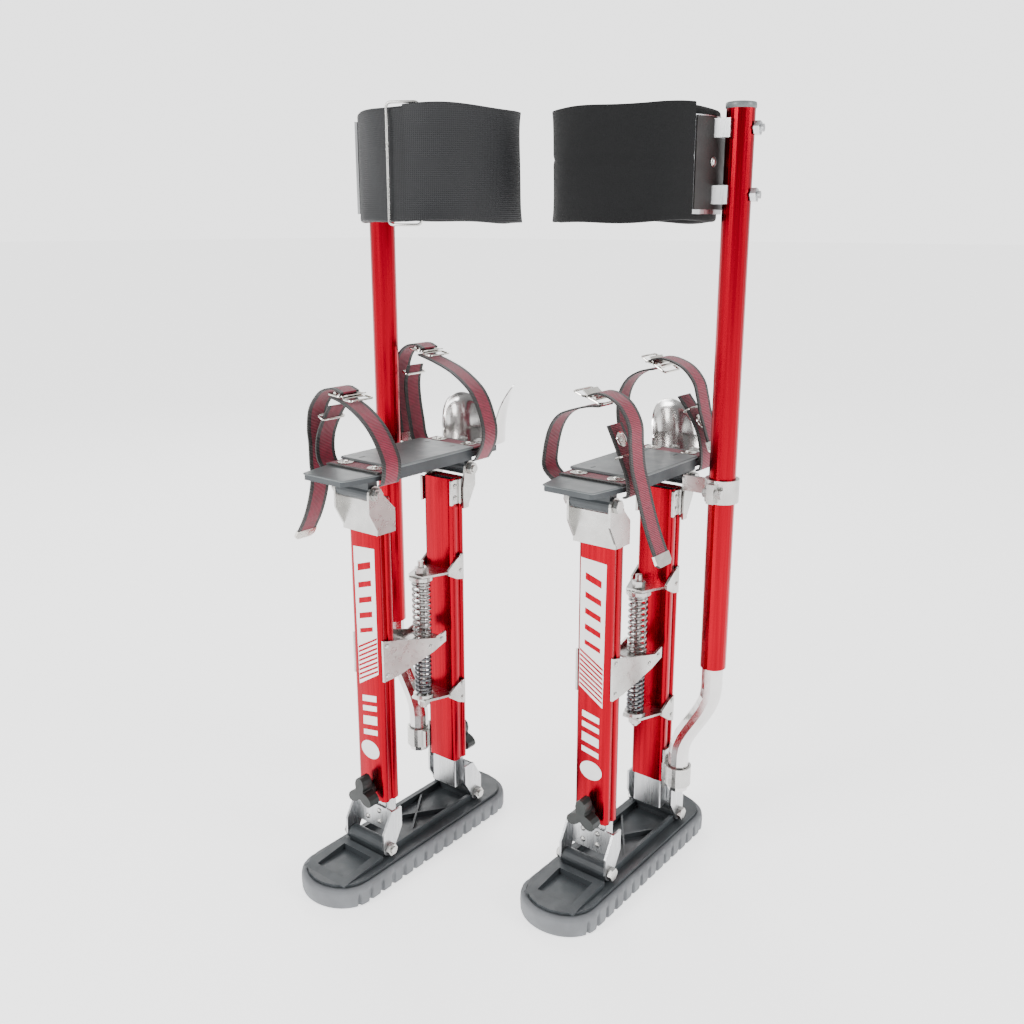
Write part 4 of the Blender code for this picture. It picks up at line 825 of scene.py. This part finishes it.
def band_skin(start, end, inset, wall, style, low, high, count=160):
    """A padded band between two angles: rings across the wall, rounded at the rims, closed at both ends.
    Returns the shape and its cloth coordinates."""
    turn = np.linspace(start, end, count)
    middle, half = (low + high) / 2, (high - low) / 2
    rim = np.linspace(0, np.pi, 7)
    outer = np.linspace(-1, 1, 24)
    loop = [(0.0, h) for h in outer]
    loop += [((1 - math.cos(a)) / 2, 1.0 + 0.5 * wall / half * math.sin(a)) for a in rim[1:-1]]
    loop += [(1.0, -h) for h in outer]
    loop += [((1 + math.cos(a)) / 2, -1.0 - 0.5 * wall / half * math.sin(a)) for a in rim[1:-1]]
    loop = np.array(loop)
    depth, level = loop[:, 0] * wall, loop[:, 1] * (1 - 0.5 * wall / half)
    wave = 0.0012 * np.sin(2.3 * turn + style) + 0.0008 * np.sin(5.1 * turn + 2 * style)
    radius = band_radius(turn[:, None], np.clip(level, -1, 1)[None], style) - inset - depth[None]
    z = middle + half * level[None] + wave[:, None] * np.abs(level)[None]
    rings = np.stack([CALF[0] + radius * np.cos(turn)[:, None], CALF[1] + radius * np.sin(turn)[:, None],
                      z * np.ones_like(radius)], -1)
    cloth = np.stack([np.broadcast_to(turn[:, None] * 0.083, radius.shape), z * np.ones_like(radius),
                      np.zeros_like(radius)], -1)
    return loft(rings), cloth.reshape(-1, 3)


for side, finish, style in (("right", black_nylon, 0.6), ("left", black_nap, 2.1)):
    shape, cloth = band_skin(POLE_ANGLE - np.pi + 0.02, POLE_ANGLE + np.pi - 0.02, 0.0012, 0.0070, style,
                             0.6920, 0.7950)
    pad = piece("calf_pad", side, "leg_tube_assembly", shape, finish, 50, cloth)
    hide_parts(f"{side}_calf_band")

# The right band's end passes through a wire loop and is folded back over the front.
shape, cloth = band_skin(math.radians(-206), math.radians(-110), -0.0026, 0.0022, 0.6, 0.6918, 0.7953, 90)
fold = piece("calf_fold", "right", "leg_tube_assembly", shape, black_nylon, 50, cloth)


def wire_loop(start, end, low, high, near, far, wire=0.0013):
    """A rectangular loop of round wire bent to the band: its path is a rounded rectangle in angle and height,
    laid on a cylinder whose radius grows from near at its start to far at its end."""
    across = 0.0845 * (end - start)
    outline = rounded_outline([(0, low), (across, low), (across, high), (0, high)], 0.005, 6)
    steps = [np.linspace(a, b, 6, endpoint=False) for a, b in zip(outline, np.roll(outline, -1, 0))]
    path = np.vstack(steps)
    turn = start + path[:, 0] / 0.0845
    away = near + (far - near) * path[:, 0] / across
    points = np.column_stack([CALF[0] + away * np.cos(turn), CALF[1] + away * np.sin(turn), path[:, 1]])
    points = np.vstack([points, points[:1]])
    tangent = np.roll(points[:-1], -1, 0) - np.roll(points[:-1], 1, 0)
    tangent /= np.linalg.norm(tangent, axis=1)[:, None]
    outward = np.column_stack([np.cos(turn), np.sin(turn), np.zeros(len(turn))])
    other = np.cross(tangent, outward)
    turns = np.arange(10) * np.pi / 5
    rings = points[:-1, None] + wire * (np.cos(turns)[None, :, None] * outward[:, None]
                                        + np.sin(turns)[None, :, None] * other[:, None])
    rings = np.concatenate([rings, rings[:1]])
    skin, faces = loft(rings, capped=False)
    last = (len(rings) - 1) * 10
    return skin[:last], [[i - last if i >= last else i for i in face] for face in faces]


loop = wire_loop(math.radians(-120), math.radians(-98), 0.6893, 0.7977, 0.0797, 0.0838)
piece("calf_wire_loop", "right", "leg_tube_assembly", loop, zinc_steel, 60)

# The left band's closing flap: fabric with a sewn seam along its middle, lifted a little at its free end.
shape, cloth = band_skin(math.radians(-212), math.radians(-21), -0.0024, 0.0024, 2.1, 0.6925, 0.7962, 150)
reach = shape[0][:, :2] - CALF
away = np.hypot(reach[:, 0], reach[:, 1])
seam = np.exp(-((shape[0][:, 2] - 0.7505) / 0.0018) ** 2) * 0.0010 * (away > 0.0795)
over_plate = 0.0030 * np.clip((np.arctan2(reach[:, 1], reach[:, 0]) + math.radians(54)) / 0.2, 0, 1)
over_plate *= reach[:, 0] > 0
shape[0][:, :2] = np.array(CALF) + reach * (1 + (over_plate - seam) / away)[:, None]
flap = piece("calf_flap", "left", "leg_tube_assembly", shape, black_nap, 50, cloth)

# A dark leather pad lines the bracket's plate between its tabs, held by a screw in the middle.
for side in STILTS:
    turn = np.linspace(math.radians(-19), math.radians(58), 50)
    section = [(0.0822, 0.7040), (0.0836, 0.7036), (0.0840, 0.7050), (0.0840, 0.7850), (0.0836, 0.7864),
               (0.0822, 0.7860)]
    rings = np.stack([np.column_stack([CALF[0] + r * np.cos(turn), CALF[1] + r * np.sin(turn),
                                       np.full(len(turn), z)]) for r, z in section], 1)
    piece("leather_pad", side, "leg_tube_assembly", loft(rings), leather, 50)
    out = (math.cos(POLE_ANGLE - 0.21), math.sin(POLE_ANGLE - 0.21), 0)
    at = np.array([CALF[0], CALF[1], 0.7465]) + 0.0840 * np.array(out)
    made = piece("pad_screw", side, "leg_tube_assembly", washer(at, out, 0.0048, 0.0012), zinc_steel)

# ---------------------------------------------------------------- floor, light and camera
# A pale studio floor that glows a little, broad soft lamps, and the camera at a catalogue standpoint.

floor_mesh = bpy.data.meshes.new("floor")
floor_mesh.from_pydata([(-40, -40, 0), (40, -40, 0), (40, 40, 0), (-40, 40, 0)], [], [(0, 1, 2, 3)])
floor_paint, _, floor_shader = new_material("pale_floor", {"Roughness": 0.9})
floor_shader.inputs["Base Color"].default_value = hex_colour("#F8F8F8")
floor_shader.inputs["Emission Color"].default_value = (1, 1, 1, 1)
floor_shader.inputs["Emission Strength"].default_value = 1.5
floor_mesh.materials.append(floor_paint)
floor = bpy.data.objects.new("floor", floor_mesh)
bpy.context.scene.collection.objects.link(floor)

world = bpy.data.worlds.new("studio")
world.use_nodes = True
sky = world.node_tree
# The camera's own rays see a sky of SKY_TO_CAMERA. All other rays see SKY_BRIGHT, which falls to SKY_DIM
# toward (0.62, -0.78) in world axes.
SKY_TO_CAMERA = 2.6
SKY_BRIGHT = 1.15
SKY_DIM = 0.30
direction = add_node(sky, "ShaderNodeTexCoord")
facing = add_node(sky, "ShaderNodeVectorMath", {0: direction.outputs["Generated"], 1: (0.62, -0.78, 0.0)},
                  operation="DOT_PRODUCT")
wall = add_node(sky, "ShaderNodeMapRange",
                {"Value": facing.outputs["Value"], 1: 0.15, 2: 0.85, 3: SKY_BRIGHT, 4: SKY_DIM},
                interpolation_type="SMOOTHSTEP")
ray = add_node(sky, "ShaderNodeLightPath")
level = add_node(sky, "ShaderNodeMix",
                 {0: ray.outputs["Is Camera Ray"], 2: wall.outputs[0], 3: SKY_TO_CAMERA},
                 data_type="FLOAT")
sky.nodes["Background"].inputs["Color"].default_value = (1, 1, 1, 1)
sky.links.new(level.outputs[0], sky.nodes["Background"].inputs["Strength"])
bpy.context.scene.world = world


def soft_lamp(name, place, aim, size, watts):
    """A square area lamp that faces a point."""
    lamp = bpy.data.lights.new(name, "AREA")
    lamp.shape = "SQUARE"
    lamp.size = size
    lamp.energy = watts
    made = bpy.data.objects.new(name, lamp)
    made.location = place
    made.rotation_euler = (Vector(aim) - Vector(place)).to_track_quat("-Z", "Y").to_euler()
    bpy.context.scene.collection.objects.link(made)


soft_lamp("key_lamp", (-0.6, -2.2, 1.5), (0, 0, 0.4), 0.9, 46)
soft_lamp("fill_lamp", (2.2, 0.3, 1.3), (0, 0, 0.4), 0.8, 26)
soft_lamp("back_lamp", (-1.6, 1.4, 1.8), (0, 0, 0.5), 1.2, 22)

camera_data = bpy.data.cameras.new("camera")
camera_data.lens = 36.02
camera_data.sensor_width = 36
camera_data.shift_x = -0.0115
camera_data.shift_y = -0.0273
camera = bpy.data.objects.new("camera", camera_data)
camera.location = (0.637, -0.8060, 0.690)
camera.rotation_euler = (math.radians(90 - 14.23), math.radians(-0.1), math.radians(37.74))
bpy.context.scene.collection.objects.link(camera)
bpy.context.scene.camera = camera
